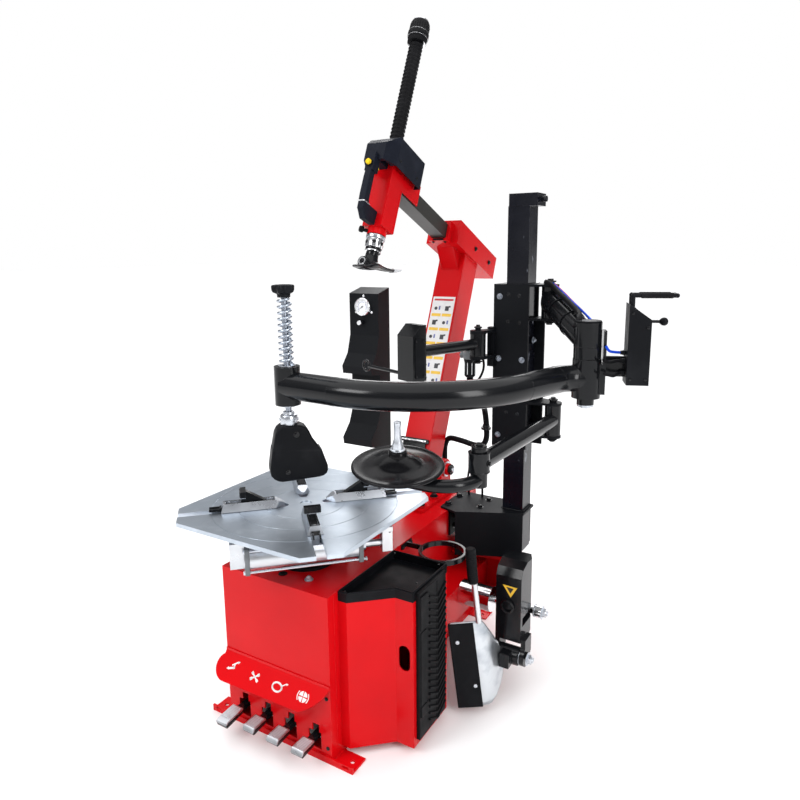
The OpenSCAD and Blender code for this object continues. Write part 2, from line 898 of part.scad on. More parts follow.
module button_upper() color(signal_yellow) lock_button(792.5, 804.5, 813);
module button_lower() color(signal_yellow) lock_button(775.5, 763.5, 755);

module hex_shaft() color(steel) lean() {
    hex_bar(hex_radius, shaft_bottom, shaft_top - 20);
    difference() {
        union() {
            rod_up(0, -head_f, cap_u0, shaft_top - 12, 33);
            rod_up(0, -head_f, cap_u0 + 20, cap_u0 + 42, 37);
            rod_up(0, -head_f, shaft_top - 13, shaft_top, 28);
        }
        hex_bar(hex_radius - fit, cap_u0 - cut, shaft_top - 30);
    }
}

module bellows() color(rubber_black) lean() {
    folds = 27;
    pitch = (cap_u0 - cover_u1 - 2) / folds;
    inner = 21;
    translate([0, -head_f, cover_u1 + 1]) difference() {
        rotate_extrude() polygon(concat(
            [[inner - 0.6, 0]],
            [for (i = [0:folds - 1]) each [
                [inner + 1, i * pitch],
                [bellows_radius, (i + 0.5) * pitch]
            ]],
            [[inner + 1, folds * pitch], [inner - 0.6, folds * pitch]]
        ));
    }
}

// The duck-shaped mount head on the lower end of the shaft.
module mount_head() color(zinc) lean() {
    tip = 60;
    difference() {
        union() {
            rod_up(0, -head_f, shaft_bottom, ring_u0 - gap, 30);
            rod_up(0, -head_f, 600, shaft_bottom, 27);
        }
        hex_bar(hex_radius, shaft_bottom, ring_u0);
    }
    translate([0, -head_f, 0]) side_plate(-22, 22, [
        [-71, 568], [-40, 578], [-26, 604], [26, 604], [60, 616], [150, 634],
        [171, 646], [160, 636], [60, 600], [15, 592]
    ]);
}

// ---- Bead breaker ----

module breaker_cylinder() color(frame_black) place() {
    difference() {
        union() {
            rod_along_x(-150, 120, rod_y, rod_z, breaker_cylinder_radius);
            rod_along_x(119, inner_x, rod_y, rod_z, 42);
        }
        rod_along_x(-110, inner_x + cut, rod_y, rod_z, breaker_rod_radius + fit);
    }
}

module breaker_rod() color(steel) place() {
    rod_along_x(-100, 612, rod_y, rod_z, breaker_rod_radius);
    rod_along_x(housing_x + gap, 418, rod_y, rod_z, 44);
    rod_along_x(574, 596, rod_y, rod_z, 20);
}

module breaker_arm() color(frame_black) place() {
    x0 = 474;
    x1 = 561;
    slot_half = 15;
    ear = 16;
    difference() {
        union() {
            intersection() {
                side_plate(breaker_pivot_x - 40, x1, [
                    [545, 196], [600, 178], [630, 190], [690, 232], [740, 205], [770, 192],
                    [880, 192], [880, 338], [746, 338], [716, 420], [680, 450], [600, 458],
                    [560, 446], [545, 420]
                ]);
                linear_extrude(height = cabinet_height)
                    polygon([[x0, 545], [x1, 545], [x1, 640], [breaker_pivot_x + 32, 850],
                        [breaker_pivot_x, 873], [breaker_pivot_x - 32, 828], [x0 - 8, 700]]);
            }
            rod_up(breaker_pivot_x, breaker_pivot_y, breaker_barrel_z0, breaker_barrel_z1,
                breaker_barrel_radius);
            for (x = [x0, x1 + 2]) {
                rod_along_x(x, x + ear, blade_y, blade_z, 35);
                block(x, x + ear, blade_y - 15, blade_y + 40, blade_z, 210);
            }
        }
        rod_up(breaker_pivot_x, breaker_pivot_y, breaker_barrel_z0 - cut,
            breaker_barrel_z1 + cut, breaker_pin_radius + fit);
        block(x0 - 40, x1 + 20, 561, 674, rod_z - slot_half, rod_z + slot_half);
        rod_along_x(x0 + ear, x1 + 2, blade_y, blade_z, 36);
    }
    rod_along_x(x0 - 6, x1 + 26, blade_y, blade_z, blade_pin_radius);
}

// The blade sheet in plan: a flat edge at the front, a corner, then the side wall.
function blade_plan(t) = [
    [414, 374], [490, 411], [505, 468], [503, 530],
    [503 - t, 530], [505 - t, 470], [490 - t, 418], [411, 381]
];

module blade_tilt() {
    translate([500, 0, blade_z]) rotate([0, -blade_lean, 0]) translate([-500, 0, -blade_z])
        children();
}

module breaker_blade() color(zinc) place() {
    z0 = 40;
    z1 = z0 + blade_height;
    difference() {
        union() {
            blade_tilt() {
                intersection() {
                    translate([0, 0, z0]) linear_extrude(height = blade_height)
                        polygon(blade_plan(blade_thickness));
                    side_plate(380, 530, [
                        [360, z0], [430, z0], [530, 84], [534, 118], [497, 203],
                        [420, z1], [360, z1]
                    ]);
                }
                translate([0, 0, z0 - 2]) linear_extrude(height = blade_height + 4)
                    polygon([[406, 378], [410, 368], [478, 400], [474, 411]]);
            }
            block(500, 542, 470, 560, 120, 180);
            rod_along_x(492, 561, blade_y, blade_z, 30);
        }
        rod_along_x(491, 562, blade_y, blade_z, blade_pin_radius + fit);
    }
}

module blade_handle() color(steel) place() {
    foot = [474, 409, 318];
    grip = [458, 398, 452];
    top = [450, 393, 562];
    strut(foot, top, handle_rod_radius);
    strut(grip, top, 15);
}

// ---- Gauge box ----

// The side outline of the gauge box: a flat dial panel over two scooped shelves.
module gauge_box() color(frame_black) place() {
    x0 = -307;
    x1 = -170;
    back = 940;
    face = 858;
    difference() {
        side_plate(x0, x1, [
            [back, 662], [back, 1317], [face, 1296], [face, 1130], [836, 1058], [797, 1010],
            [802, 980], [face + 6, 972], [face + 6, 830], [838, 768], [790, 716],
            [795, 688], [868, 668]
        ]);
        block(x0 + 3, x1 - 3, 884, 936, 690, 1280);
    }
    rod_along_y(-244, 840, face + cut, 1182, 9);
    strut([-186, 912, cabinet_height + 6], [-186, 912, 664], 16);
    block(-198, -160, 880, 944, cabinet_height, cabinet_height + 8);
}

module pressure_gauge() color(steel) place() {
    gauge_x = -238;
    gauge_z = 1244;
    rod_along_y(gauge_x, 842, 858, gauge_z, 35);
}

// ---- Helper post ----

module helper_bracket() color(frame_black) place() {
    plate = 8;
    top = cabinet_height + plate;
    difference() {
        union() {
            translate([0, 0, cabinet_height]) linear_extrude(height = plate)
                polygon([[168, 740], [239, 715], [462, 818], [462, 922], [168, 922]]);
            block(half_width, half_width + plate, 740, 914, 420, cabinet_height);
            translate([0, 0, 360]) linear_extrude(height = cabinet_height - 360)
                polygon([[239, 715], [460, 818], [457, 825], [236, 722]]);
            block(half_width, post_x1, post_y1, 922, 380, cabinet_height);
            for (y = [771, 866]) rod_up(184, y, top, top + 9, 11);
        }
        block(post_x0, post_x1, post_y0, post_y1, 300, top + cut);
    }
}

module post() color(frame_black) place() {
    inner_top = post_top - post_wall;
    difference() {
        block(post_x0, post_x1, post_y0, post_y1, post_z0, post_top);
        block(post_x0 + post_wall, post_x1 - post_wall, post_y0 + post_wall,
            post_y1 - post_wall, post_z0 + post_wall, inner_top);
        block(post_cx - 14, post_cx + 14, post_y1 - post_wall - cut, post_y1 + cut, 1095, 1400);
    }
    block(post_x0 + 3, post_x1 + 26, post_y0 - 2, post_y1 + 2, post_top, post_top + 41);
    rod_along_x(post_x1 + 26, post_x1 + 44, post_cy, post_top + 22, 10);
}

module lift_cylinder() color(steel) place() {
    difference() {
        rod_up(post_cx, post_cy, post_z0 + post_wall, 760, 30);
        rod_up(post_cx, post_cy, 400, 761, 12 + fit);
    }
}

// The plan of a carriage ear that reaches out to a pin, open round the post.
module ear_plan(pin) {
    difference() {
        union() {
            polygon([[carriage_x0, 822], [carriage_x1, 822], [pin[0] + 20, pin[1] - 22],
                [pin[0] + 20, pin[1] + 22], [carriage_x1, 926], [carriage_x0, 926]]);
            translate(pin) circle(r = 30);
        }
        translate([post_x0 - 2, post_y0 - 4]) square([post_width + 4, post_depth + 8]);
    }
}

module ear_pair(pin, z0, z1, pin_radius) {
    for (z = [z0, z1]) translate([0, 0, z]) linear_extrude(height = ear_plate) ear_plan(pin);
    rod_up(pin[0], pin[1], z0 - 7, z1 + ear_plate + 7, pin_radius);
}

module carriage() color(frame_black) place() {
    front = post_y0 - 4;
    back = post_y1 + 4;
    pad_height = 60;
    block(carriage_x0, carriage_x1, front - carriage_plate, front, carriage_z0, carriage_z1);
    block(carriage_x0, carriage_x1, back, back + carriage_plate, carriage_z0, carriage_z1);
    block(carriage_x0, 485, back, back + carriage_plate, carriage_z0, 1227);
    block(carriage_x0, carriage_x0 + carriage_plate, front, back, carriage_z0, carriage_z1);
    for (z = [carriage_z0 + 10, carriage_z1 - 10 - pad_height]) {
        block(post_x0, post_x1, front, post_y0 - guide_gap, z, z + pad_height);
        block(post_x0, post_cx - 16, post_y1 + guide_gap, back, z, z + pad_height);
        block(post_cx + 16, post_x1, post_y1 + guide_gap, back, z, z + pad_height);
        block(carriage_x0 + carriage_plate, post_x0 - guide_gap, post_y0, post_y1,
            z, z + pad_height);
    }
    ear_pair(upper_pin, upper_ear_z0, upper_ear_z1, upper_pin_radius);
    ear_pair(lower_pin, 811, 929, lower_pin_radius);
    rod_up(post_cx, post_cy, 480, 1170, 12);
    block(post_cx - 10, post_cx + 10, post_cy, back + cut, 1145, 1170);
    for (z = [1088, 1178]) translate([0, 0, z]) linear_extrude(height = 10) {
        translate(middle_pin) circle(r = 28);
        polygon([[274, 760], [330, 760], [345, 822], [315, 822]]);
    }
    rod_up(middle_pin[0], middle_pin[1], 1080, 1196, middle_pin_radius);
    block(317, 341, 806, 830, 1057, 1196);
}

module upper_link() color(frame_black) place() {
    barrel_z0 = upper_ear_z0 + ear_plate + gap;
    barrel_z1 = upper_ear_z1 - gap;
    from = [upper_pin[0], upper_pin[1], 1291];
    to = [elbow[0], elbow[1], 1198];
    difference() {
        union() {
            rod_up(upper_pin[0], upper_pin[1], barrel_z0, barrel_z1, 28);
            intersection() {
                strut(from, to, big_tube_radius);
                block(500, 760, 560, 900, barrel_z0 - 100, barrel_z1);
            }
            rod_up(elbow[0], elbow[1], link_sleeve_z0, link_sleeve_z1, big_tube_radius);
        }
        rod_up(upper_pin[0], upper_pin[1], barrel_z0 - cut, barrel_z1 + cut,
            upper_pin_radius + fit);
    }
    rod_up(elbow[0], elbow[1], 1008, link_sleeve_z0 + cut, elbow_pin_radius);
    rod_up(elbow[0], elbow[1], 1006, 1025, 25);
}

// The long arm: straight from the press, round the big bend, and through the elbow bend.
module arm_sweep(r) {
    translate([press[0], press[1], arm_z]) rotate([0, 0, curved_heading]) {
        run(curved_run_in, r);
        translate([curved_run_in, 0, 0]) {
            weld_ring(r);
            bend_left(curved_arm_bend, curved_turn, r);
            after_left(curved_arm_bend, curved_turn) {
                weld_ring(r);
                run(curved_run_out, r);
                translate([curved_run_out, 0, 0]) mirror([0, 1, 0]) {
                    weld_ring(r);
                    bend_left(elbow_bend, elbow_turn, r);
                    after_left(elbow_bend, elbow_turn) {
                        weld_ring(r);
                        run(24, r);
                    }
                }
            }
        }
    }
}

module curved_arm() color(frame_black) place() {
    boss_z0 = 1027;
    boss_z1 = link_sleeve_z0 - 1.3;
    rib_turn = 20;
    difference() {
        union() {
            arm_sweep(big_tube_radius);
            rod_up(press[0], press[1], press_sleeve_z0, press_sleeve_z1, press_sleeve_radius);
            rod_up(elbow[0], elbow[1], boss_z0, boss_z1, big_tube_radius + 1.5);
            translate([elbow[0], elbow[1], 0]) rotate([0, 0, rib_turn]) {
                block(30, 52, -22, 22, 1040, 1130);
                block(43, 52, -22, 22, 1040, 1228);
                block(50, 108, 8, 18, 1090, 1150);
            }
        }
        rod_up(press[0], press[1], 1000, 1160, press_rod_radius + fit);
        rod_up(elbow[0], elbow[1], boss_z0 - cut, boss_z1 + cut, elbow_pin_radius + fit);
    }
}

module at_control() {
    place() translate([elbow[0], elbow[1], 0]) rotate([0, 0, 20]) translate([108, 0, 0])
        children();
}

module control_box() color(frame_black) at_control() {
    difference() {
        translate([0, 38, 0]) rotate([90, 0, 0]) linear_extrude(height = 76)
            polygon([[0, 1073], [62, 1073], [62, 1262], [0, 1307]]);
        rod_along_y(52, 27, 39, 1262 - 12, 5 + fit);
    }
    rail = 6;
    rail_z = 1330;
    rail_end = 128;
    for (y = [-22, 16]) {
        rod_up(10, y, 1290, rail_z, rail);
        rod_along_x(10, rail_end, y, rail_z, rail);
        translate([10, y, rail_z]) sphere(r = rail + 0.5);
        translate([rail_end, y, rail_z]) sphere(r = rail + 0.5);
    }
    rod_along_y(rail_end, -22, 16, rail_z, rail);
}

module control_lever() color(frame_black) at_control() {
    rod_along_y(52, 28, 50, 1250, 5);
    rod_along_y(52, 39, 50, 1250, 11);
    block(52, 106, 40, 49, 1246, 1254);
    translate([110, 44.5, 1250]) sphere(r = 11);
}

// ---- Press ----

module press_rod() color(zinc) place() translate([press[0], press[1], 0]) {
    lobes = 5;
    knob_z0 = 1343;
    knob_z1 = 1370;
    rod_up(0, 0, 972, knob_z1 - 4, press_rod_radius);
    rod_up(0, 0, 971, 998, 23);
    rod_up(0, 0, 1336, knob_z0 + cut, 20);
    translate([0, 0, knob_z0]) linear_extrude(height = knob_z1 - knob_z0) {
        circle(r = 23);
        for (i = [0:lobes - 1]) rotate([0, 0, i * 360 / lobes]) translate([22, 0]) circle(r = 11);
    }
}

// Points of the spring: a ring of wire for each step along the helix.
function coil_point(step, side, steps, sides, r, wire, rise) = let (
    turn = 360 * step / steps,
    a = 360 * side / sides
) [
    (r + wire * cos(a)) * cos(turn),
    (r + wire * cos(a)) * sin(turn),
    rise * step / steps + wire * sin(a)
];

module press_spring() color(zinc) place() {
    steps = 16;
    sides = 6;
    wire = 3.2;
    mean = 17.4;
    z0 = press_sleeve_z1 + 0.4 + wire;
    rise = (1336 - 0.4 - wire - z0) / spring_turns;
    rings = steps * spring_turns;
    points = [
        for (i = [0:rings], j = [0:sides - 1])
            coil_point(i, j, steps, sides, mean, wire, rise)
    ];
    walls = [
        for (i = [0:rings - 1], j = [0:sides - 1]) [
            i * sides + j, i * sides + (j + 1) % sides,
            (i + 1) * sides + (j + 1) % sides, (i + 1) * sides + j
        ]
    ];
    first = [[for (j = [sides - 1:-1:0]) j]];
    last = [[for (j = [0:sides - 1]) rings * sides + j]];
    translate([press[0], press[1], z0]) polyhedron(points, concat(walls, first, last));
}

// The plastic press block flares more on its right-hand side than on its left.
module press_block() color(rubber_black) place()
    translate([press[0], press[1], 0]) rotate([0, 0, block_turn]) {
        thickness = 60;
        left = press_block_width * 0.37;
        right = press_block_width - left;
        base = 806;
        translate([0, thickness / 2, 0]) rotate([90, 0, 0]) linear_extrude(height = thickness)
            polygon([
                [-left + 26, base], [right - 14, base + 6], [right, base + 20],
                [right, base + 32], [88, 893], [66, 924], [55, 953], [32, 971],
                [-26, 971], [-43, 950], [-52, 906], [-left, base + 42], [-left, base + 22]
            ]);
    }

// ---- Middle arm ----

module middle_arm() color(frame_black) place()
    translate([middle_pin[0], middle_pin[1], 0]) rotate([0, 0, middle_turn]) {
        reach = 277;
        difference() {
            union() {
                rod_up(0, 0, 1099, 1177, 27);
                rod_along_x(20, reach, 0, middle_z, 19);
            }
            rod_up(0, 0, 1098, 1178, middle_pin_radius + fit);
        }
        translate([0, 40, 0]) rotate([90, 0, 0]) linear_extrude(height = 80)
            polygon([[reach - 10, 1050], [reach + 44, 1050], [reach + 44, 1196],
                [reach + 10, 1230], [reach - 10, 1230]]);
        rod_along_y(reach + 20, -236, -40, 1066, 6);
        translate([reach + 20, -252, 1066]) rotate([0, 90, 0]) rotate_extrude()
            translate([18, 0]) circle(r = 4);
    }

// ---- Disc arm ----

module lower_link() color(frame_black) place() {
    from = [lower_pin[0], lower_pin[1], 873];
    to = [knuckle[0], knuckle[1], 881];
    difference() {
        union() {
            rod_up(lower_pin[0], lower_pin[1], 820, 928, 28);
            strut(from, to, 25);
            rod_up(knuckle[0], knuckle[1], 856, 914, 30);
        }
        rod_up(lower_pin[0], lower_pin[1], 819, 929, lower_pin_radius + fit);
        rod_up(knuckle[0], knuckle[1], 855, 915, knuckle_pin_radius + fit);
    }
}

module disc_spindle() {
    place() translate([disc_x, disc_y, disc_z]) rotate([0, 0, disc_lean_turn])
        rotate([0, disc_lean, 0]) children();
}

module disc_arm() color(frame_black) {
    place() {
        rod_up(knuckle[0], knuckle[1], disc_arm_z - 19, 920, knuckle_pin_radius);
        rod_up(knuckle[0], knuckle[1], disc_arm_z - 19, 854, 24);
        rod_up(knuckle[0], knuckle[1], 915, 926, 22);
        translate([knuckle[0], knuckle[1], disc_arm_z]) mirror([1, 0, 0]) rotate([0, 0, -90]) {
            bend_left(disc_bend, 90, disc_arm_radius);
            after_left(disc_bend, 90) run(knuckle[0] - disc_bend - disc_x, disc_arm_radius);
        }
        translate([disc_x, disc_y, disc_arm_z]) sphere(r = disc_arm_radius);
    }
    disc_spindle() {
        translate([0, 0, -40]) cylinder(h = 172, r = spindle_radius);
        translate([0, 0, -24]) cylinder(h = 30, r = 15);
        translate([0, 0, 50]) cylinder(h = 14, r = 15);
    }
}

module disc() color(rubber_black) disc_spindle() {
    bore = spindle_radius + fit;
    rotate_extrude($fn = 96) polygon([
        [bore, 8], [30, 20], [disc_radius - 4, -2], [disc_radius, 0], [disc_radius, 4],
        [36, 27], [26, 30], [26, 48], [bore, 48]
    ]);
}

// ---- Air supply ----

module air_conduit() color(frame_black) place() {
    last = len(conduit_route) - 1;
    for (i = [0:last - 1]) strut(conduit_route[i], conduit_route[i + 1], conduit_radius);
    for (i = [1:last - 1]) translate(conduit_route[i]) sphere(r = conduit_radius + 1);
    rod_along_y(conduit_route[0][0], cabinet_depth, cabinet_depth + 10, 470, 20);
}

module filter_regulator() color(motor_grey) place() {
    end = conduit_route[len(conduit_route) - 1];
    translate([end[0], end[1], end[2]]) {
        rod_up(0, 0, 12, 78, 20);
        rod_up(0, 0, 77, 104, 24);
        rod_along_x(-36, 36, 0, 90, 9);
        rod_up(0, 0, 103, 116, 10);
    }
}

cabinet_shell();
pedal_apron();
side_box();
tool_tray();
bead_pad();
lube_ring();
gearbox();
gearbox_pulley();
motor();
motor_pulley();
drive_belt();
pedal_shaft();
pedal_1();
pedal_2();
pedal_3();
pedal_4();
turntable();
jaw_1();
jaw_2();
jaw_3();
jaw_4();
clamp_barrels();
clamp_rods();
hinge_bracket();
tilt_cylinder();
tilt_rod();
column();
arm_box();
slide_arm();
head_body();
head_cover();
button_upper();
button_lower();
hex_shaft();
bellows();
mount_head();
breaker_cylinder();
breaker_rod();
breaker_arm();
breaker_blade();
blade_handle();
gauge_box();
pressure_gauge();
helper_bracket();
post();
lift_cylinder();
carriage();
upper_link();
curved_arm();
control_box();
control_lever();
press_rod();
press_spring();
press_block();
middle_arm();
lower_link();
disc_arm();
disc();
air_conduit();
filter_regulator();
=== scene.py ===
"""The looks of the tire changer: materials for its CAD parts, and the finer pieces on them."""

import math
from functools import partial

import bmesh
import bpy
from mathutils import Matrix, Vector


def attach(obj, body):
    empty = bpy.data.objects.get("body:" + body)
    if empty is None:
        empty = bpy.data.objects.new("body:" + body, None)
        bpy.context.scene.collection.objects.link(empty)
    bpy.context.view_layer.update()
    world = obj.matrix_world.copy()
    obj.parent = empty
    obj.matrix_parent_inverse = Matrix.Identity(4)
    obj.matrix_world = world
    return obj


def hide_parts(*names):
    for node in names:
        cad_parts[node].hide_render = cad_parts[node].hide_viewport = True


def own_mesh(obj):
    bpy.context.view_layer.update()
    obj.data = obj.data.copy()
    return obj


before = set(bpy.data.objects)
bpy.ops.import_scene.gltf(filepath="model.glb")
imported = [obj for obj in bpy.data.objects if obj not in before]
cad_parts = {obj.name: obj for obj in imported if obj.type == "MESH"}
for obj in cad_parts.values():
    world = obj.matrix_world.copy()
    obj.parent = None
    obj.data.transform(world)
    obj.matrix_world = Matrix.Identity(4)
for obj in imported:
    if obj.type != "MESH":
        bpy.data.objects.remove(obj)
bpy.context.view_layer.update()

# The machine's own sizes are in millimetres, with y = 0 at the front panel.
MM = 0.001
CENTRE_Y = 490
LEAN = math.radians(23)
HINGE_Y, HINGE_Z = 940, 600
X, Y, UP = Vector((1, 0, 0)), Vector((0, 1, 0)), Vector((0, 0, 1))
BOTH = (-1, 1)
WASHER = 1.6


def at(x, y, z):
    """A point given in the machine's own frame, in metres in the shared frame."""
    return Vector((x, y - CENTRE_Y, z)) * MM


def lean(x, f, u):
    """A point in the leaning column's frame: x across, f forward, u up along the column."""
    c, s = math.cos(LEAN), math.sin(LEAN)
    return at(x, HINGE_Y - f * c + u * s, HINGE_Z + f * s + u * c)


def turned(origin, angle, x, y, z):
    """A point in a frame that is moved to origin and turned about the vertical, in degrees."""
    a = math.radians(angle)
    return at(origin[0] + x * math.cos(a) - y * math.sin(a),
              origin[1] + x * math.sin(a) + y * math.cos(a), z)


def heading(place, x, y, z):
    """The unit vector along (x, y, z) in the frame of a function such as at or lean."""
    return (place(x, y, z) - place(0, 0, 0)).normalized()


LEAN_UP, LEAN_FWD = heading(lean, 0, 0, 1), heading(lean, 0, 1, 0)


def seat(base, axis=UP, side=None):
    """A matrix at base whose z runs along axis and whose x runs as close to side as it can."""
    z = Vector(axis).normalized()
    guide = Vector(side) if side else (X if abs(z.x) < 0.9 else Y)
    y = z.cross(guide).normalized()
    return Matrix.Translation(base) @ Matrix((y.cross(z), y, z)).transposed().to_4x4()


def moved(place, x, y, z):
    """The matrix place, moved along its own axes by a distance in mm."""
    return place @ Matrix.Translation(Vector((x, y, z)) * MM)


def spun(place, angle, axis="Z"):
    """The matrix place, turned about one of its own axes, in degrees."""
    return place @ Matrix.Rotation(math.radians(angle), 4, axis)


def between(start, end):
    """The distance between two points, in mm, and the seat at the first that faces the second."""
    return (end - start).length / MM, seat(start, end - start)


def polar(r, a):
    return r * math.cos(a), r * math.sin(a)


def circle(count):
    """Evenly spaced angles round a full turn, in radians."""
    return [2 * math.pi * i / count for i in range(count)]


def arc(cx, cy, r, start, end, count):
    """Points along an arc, in mm, with angles in degrees."""
    turns = [math.radians(start + (end - start) * i / count) for i in range(count + 1)]
    return [(cx + r * math.cos(a), cy + r * math.sin(a)) for a in turns]


def rounded(x0, y0, x1, y1, r):
    """The outline of a rectangle with round corners."""
    return (arc(x1 - r, y0 + r, r, -90, 0, 4) + arc(x1 - r, y1 - r, r, 0, 90, 4)
            + arc(x0 + r, y1 - r, r, 90, 180, 4) + arc(x0 + r, y0 + r, r, 180, 270, 4))


def box_outline(width, height):
    a, b = width / 2, height / 2
    return [(-a, -b), (a, -b), (a, b), (-a, b)]


def add_object(name, data):
    made = bpy.data.objects.new(name, data)
    bpy.context.scene.collection.objects.link(made)
    return made


# ---- Camera and light ----


def add_camera():
    """The photo's camera, as fitted to the machine's straight edges. It rolls very slightly."""
    data = bpy.data.cameras.new("camera")
    data.sensor_width, data.lens = 36, 29.94615
    data.shift_x, data.shift_y = -0.0024, -0.0303
    camera = add_object("camera", data)
    yaw, pitch, roll = math.radians(30.825), math.radians(10.616), -0.561
    forward = Vector((-math.sin(yaw) * math.cos(pitch), math.cos(yaw) * math.cos(pitch),
                      -math.sin(pitch)))
    turn = forward.to_track_quat("-Z", "Y").to_matrix().to_4x4()
    camera.matrix_world = spun(Matrix.Translation((1.2483, -1.8326, 1.460)) @ turn, roll)
    bpy.context.scene.camera = camera


def add_area(name, place, target, size, power):
    data = bpy.data.lights.new(name, "AREA")
    data.shape = "RECTANGLE"
    data.size, data.size_y = size
    data.energy = power
    light = add_object(name, data)
    light.location = place
    light.rotation_euler = (Vector(target) - Vector(place)).to_track_quat("-Z", "Y").to_euler()


def add_sun(strength):
    """A very wide sun, straight down, that lights the whole floor evenly."""
    data = bpy.data.lights.new("sky", "SUN")
    data.energy = strength
    data.angle = math.radians(100)
    add_object("sky", data)


def add_world():
    """A white backdrop, and a soft light that fades from above to below."""
    world = bpy.data.worlds.new("studio")
    world.use_nodes = True
    bpy.context.scene.world = world
    nodes, join = world.node_tree.nodes, world.node_tree.links.new
    nodes.clear()
    out, soft, seen, mix, coord, split, ramp, path, scale = (
        nodes.new("ShaderNode" + kind) for kind in (
            "OutputWorld", "Background", "Background", "MixShader", "TexCoord", "SeparateXYZ",
            "ValToRGB", "LightPath", "MapRange"))
    seen.inputs["Color"].default_value = (1, 1, 1, 1)
    soft.inputs["Strength"].default_value = 0.5
    scale.inputs["From Min"].default_value = -1
    stops = ((0.0, 0.10), (0.46, 0.14), (0.56, 0.45), (0.75, 0.85), (1.0, 1.0))
    for place, _ in stops[1:-1]:
        ramp.color_ramp.elements.new(place)
    for element, (_, value) in zip(ramp.color_ramp.elements, stops):
        element.color = (value, value, value * 1.02, 1)
    join(coord.outputs["Generated"], split.inputs[0])
    join(split.outputs["Z"], scale.inputs["Value"])
    join(scale.outputs[0], ramp.inputs[0])
    join(ramp.outputs[0], soft.inputs["Color"])
    join(path.outputs["Is Camera Ray"], mix.inputs[0])
    join(soft.outputs[0], mix.inputs[1])
    join(seen.outputs[0], mix.inputs[2])
    join(mix.outputs[0], out.inputs[0])


add_camera()
add_world()
bpy.context.scene.view_settings.view_transform = "Standard"
add_sun(2.3)
add_area("key", (-1.2, -3.4, 3.0), (0.1, -0.1, 0.8), (1.6, 1.2), 62)
add_area("side", (3.6, -1.4, 2.2), (0.1, 0.0, 0.8), (1.0, 2.2), 62)
add_area("rim", (-1.2, 3.4, 2.6), (0.1, 0.2, 1.0), (2.4, 1.4), 45)

# ---- Materials ----

EVEN = (1, 1, 1)


class Look:
    """A procedural material: one Principled shader fed by noise in the object's own space."""

    def __init__(self, name, colour, rough, metal=0.0, coat=0.0, bevel=1.2, gloss=0.5):
        self.material = bpy.data.materials.new(name)
        self.material.use_nodes = True
        self.nodes = self.material.node_tree.nodes
        self.join = self.material.node_tree.links.new
        self.shader = self.nodes["Principled BSDF"]
        self.shader.inputs["Metallic"].default_value = metal
        self.shader.inputs["Coat Weight"].default_value = coat
        self.shader.inputs["Specular IOR Level"].default_value = gloss
        self.shader.inputs["Coat Roughness"].default_value = 0.12
        self.shader.inputs["Roughness"].default_value = rough
        self.coord = self.node("TexCoord")
        rgb = self.node("RGB")
        rgb.outputs[0].default_value = (*colour, 1)
        self.colour, self.rough = rgb.outputs[0], rough
        self.normal = self.edge = None
        if bevel:
            self.round_edges(bevel)

    def node(self, kind, operation=None, **values):
        made = self.nodes.new("ShaderNode" + kind)
        if operation:
            made.operation = operation
        for key, value in values.items():
            made.inputs[key.replace("_", " ")].default_value = value
        return made

    def noise(self, scale, detail, stretch=EVEN):
        mapping = self.node("Mapping", Scale=stretch)
        noise = self.node("TexNoise", Scale=scale, Detail=detail)
        self.join(self.coord.outputs["Object"], mapping.inputs[0])
        self.join(mapping.outputs[0], noise.inputs["Vector"])
        return noise.outputs["Fac"]

    def spread(self, value, low, high, to_low=0.0, to_high=1.0):
        ranged = self.node("MapRange", From_Min=low, From_Max=high, To_Min=to_low, To_Max=to_high)
        self.join(value, ranged.inputs["Value"])
        return ranged.outputs[0]

    def round_edges(self, radius):
        """Rounds the shading at edges, and keeps where the edges are for worn."""
        bevel = self.node("Bevel", Radius=radius * MM)
        bevel.samples = 4
        self.normal = bevel.outputs[0]
        dot = self.node("VectorMath", "DOT_PRODUCT")
        self.join(bevel.outputs[0], dot.inputs[0])
        self.join(self.node("NewGeometry").outputs["Normal"], dot.inputs[1])
        self.edge = self.spread(dot.outputs["Value"], 0.99, 0.86)

    def tint(self, factor, colour):
        """Mixes a second colour in where factor is high."""
        mix = self.node("Mix")
        mix.data_type = "RGBA"
        self.join(factor, mix.inputs["Factor"])
        self.join(self.colour, mix.inputs["A"])
        mix.inputs["B"].default_value = (*colour, 1)
        self.colour = mix.outputs["Result"]
        return self

    def cloud(self, scale, colour, low=0.45, high=0.75, stretch=EVEN):
        return self.tint(self.spread(self.noise(scale, 5, stretch), low, high), colour)

    def worn(self, colour):
        """Shows another colour along edges, broken up by noise."""
        product = self.node("Math", "MULTIPLY")
        self.join(self.edge, product.inputs[0])
        self.join(self.spread(self.noise(60, 6), 0.5, 0.72), product.inputs[1])
        return self.tint(product.outputs[0], colour)

    def scuffed(self, scale, amount):
        """Varies the roughness by amount either way."""
        low, high = self.rough - amount, self.rough + amount
        value = self.spread(self.noise(scale, 6), 0.3, 0.7, low, high)
        self.join(value, self.shader.inputs["Roughness"])
        return self

    def bumpy(self, scale, strength, distance=0.2, stretch=EVEN):
        bump = self.node("Bump", Strength=strength, Distance=distance * MM)
        self.join(self.noise(scale, 3, stretch), bump.inputs["Height"])
        if self.normal:
            self.join(self.normal, bump.inputs["Normal"])
        self.normal = bump.outputs[0]
        return self

    def done(self):
        self.join(self.colour, self.shader.inputs["Base Color"])
        self.join(self.normal, self.shader.inputs["Normal"])
        return self.material


def paint(name, colour, deep, wear, rough, coat=0.1, gloss=0.3):
    """Gloss powder coat: a faint orange peel, soft tone changes and thin wear on the edges."""
    look = Look(name, colour, rough, coat=coat, gloss=gloss)
    look.cloud(3.5, deep, 0.3, 0.8).worn(wear).scuffed(7, 0.03)
    return look.bumpy(420, 0.10).done()


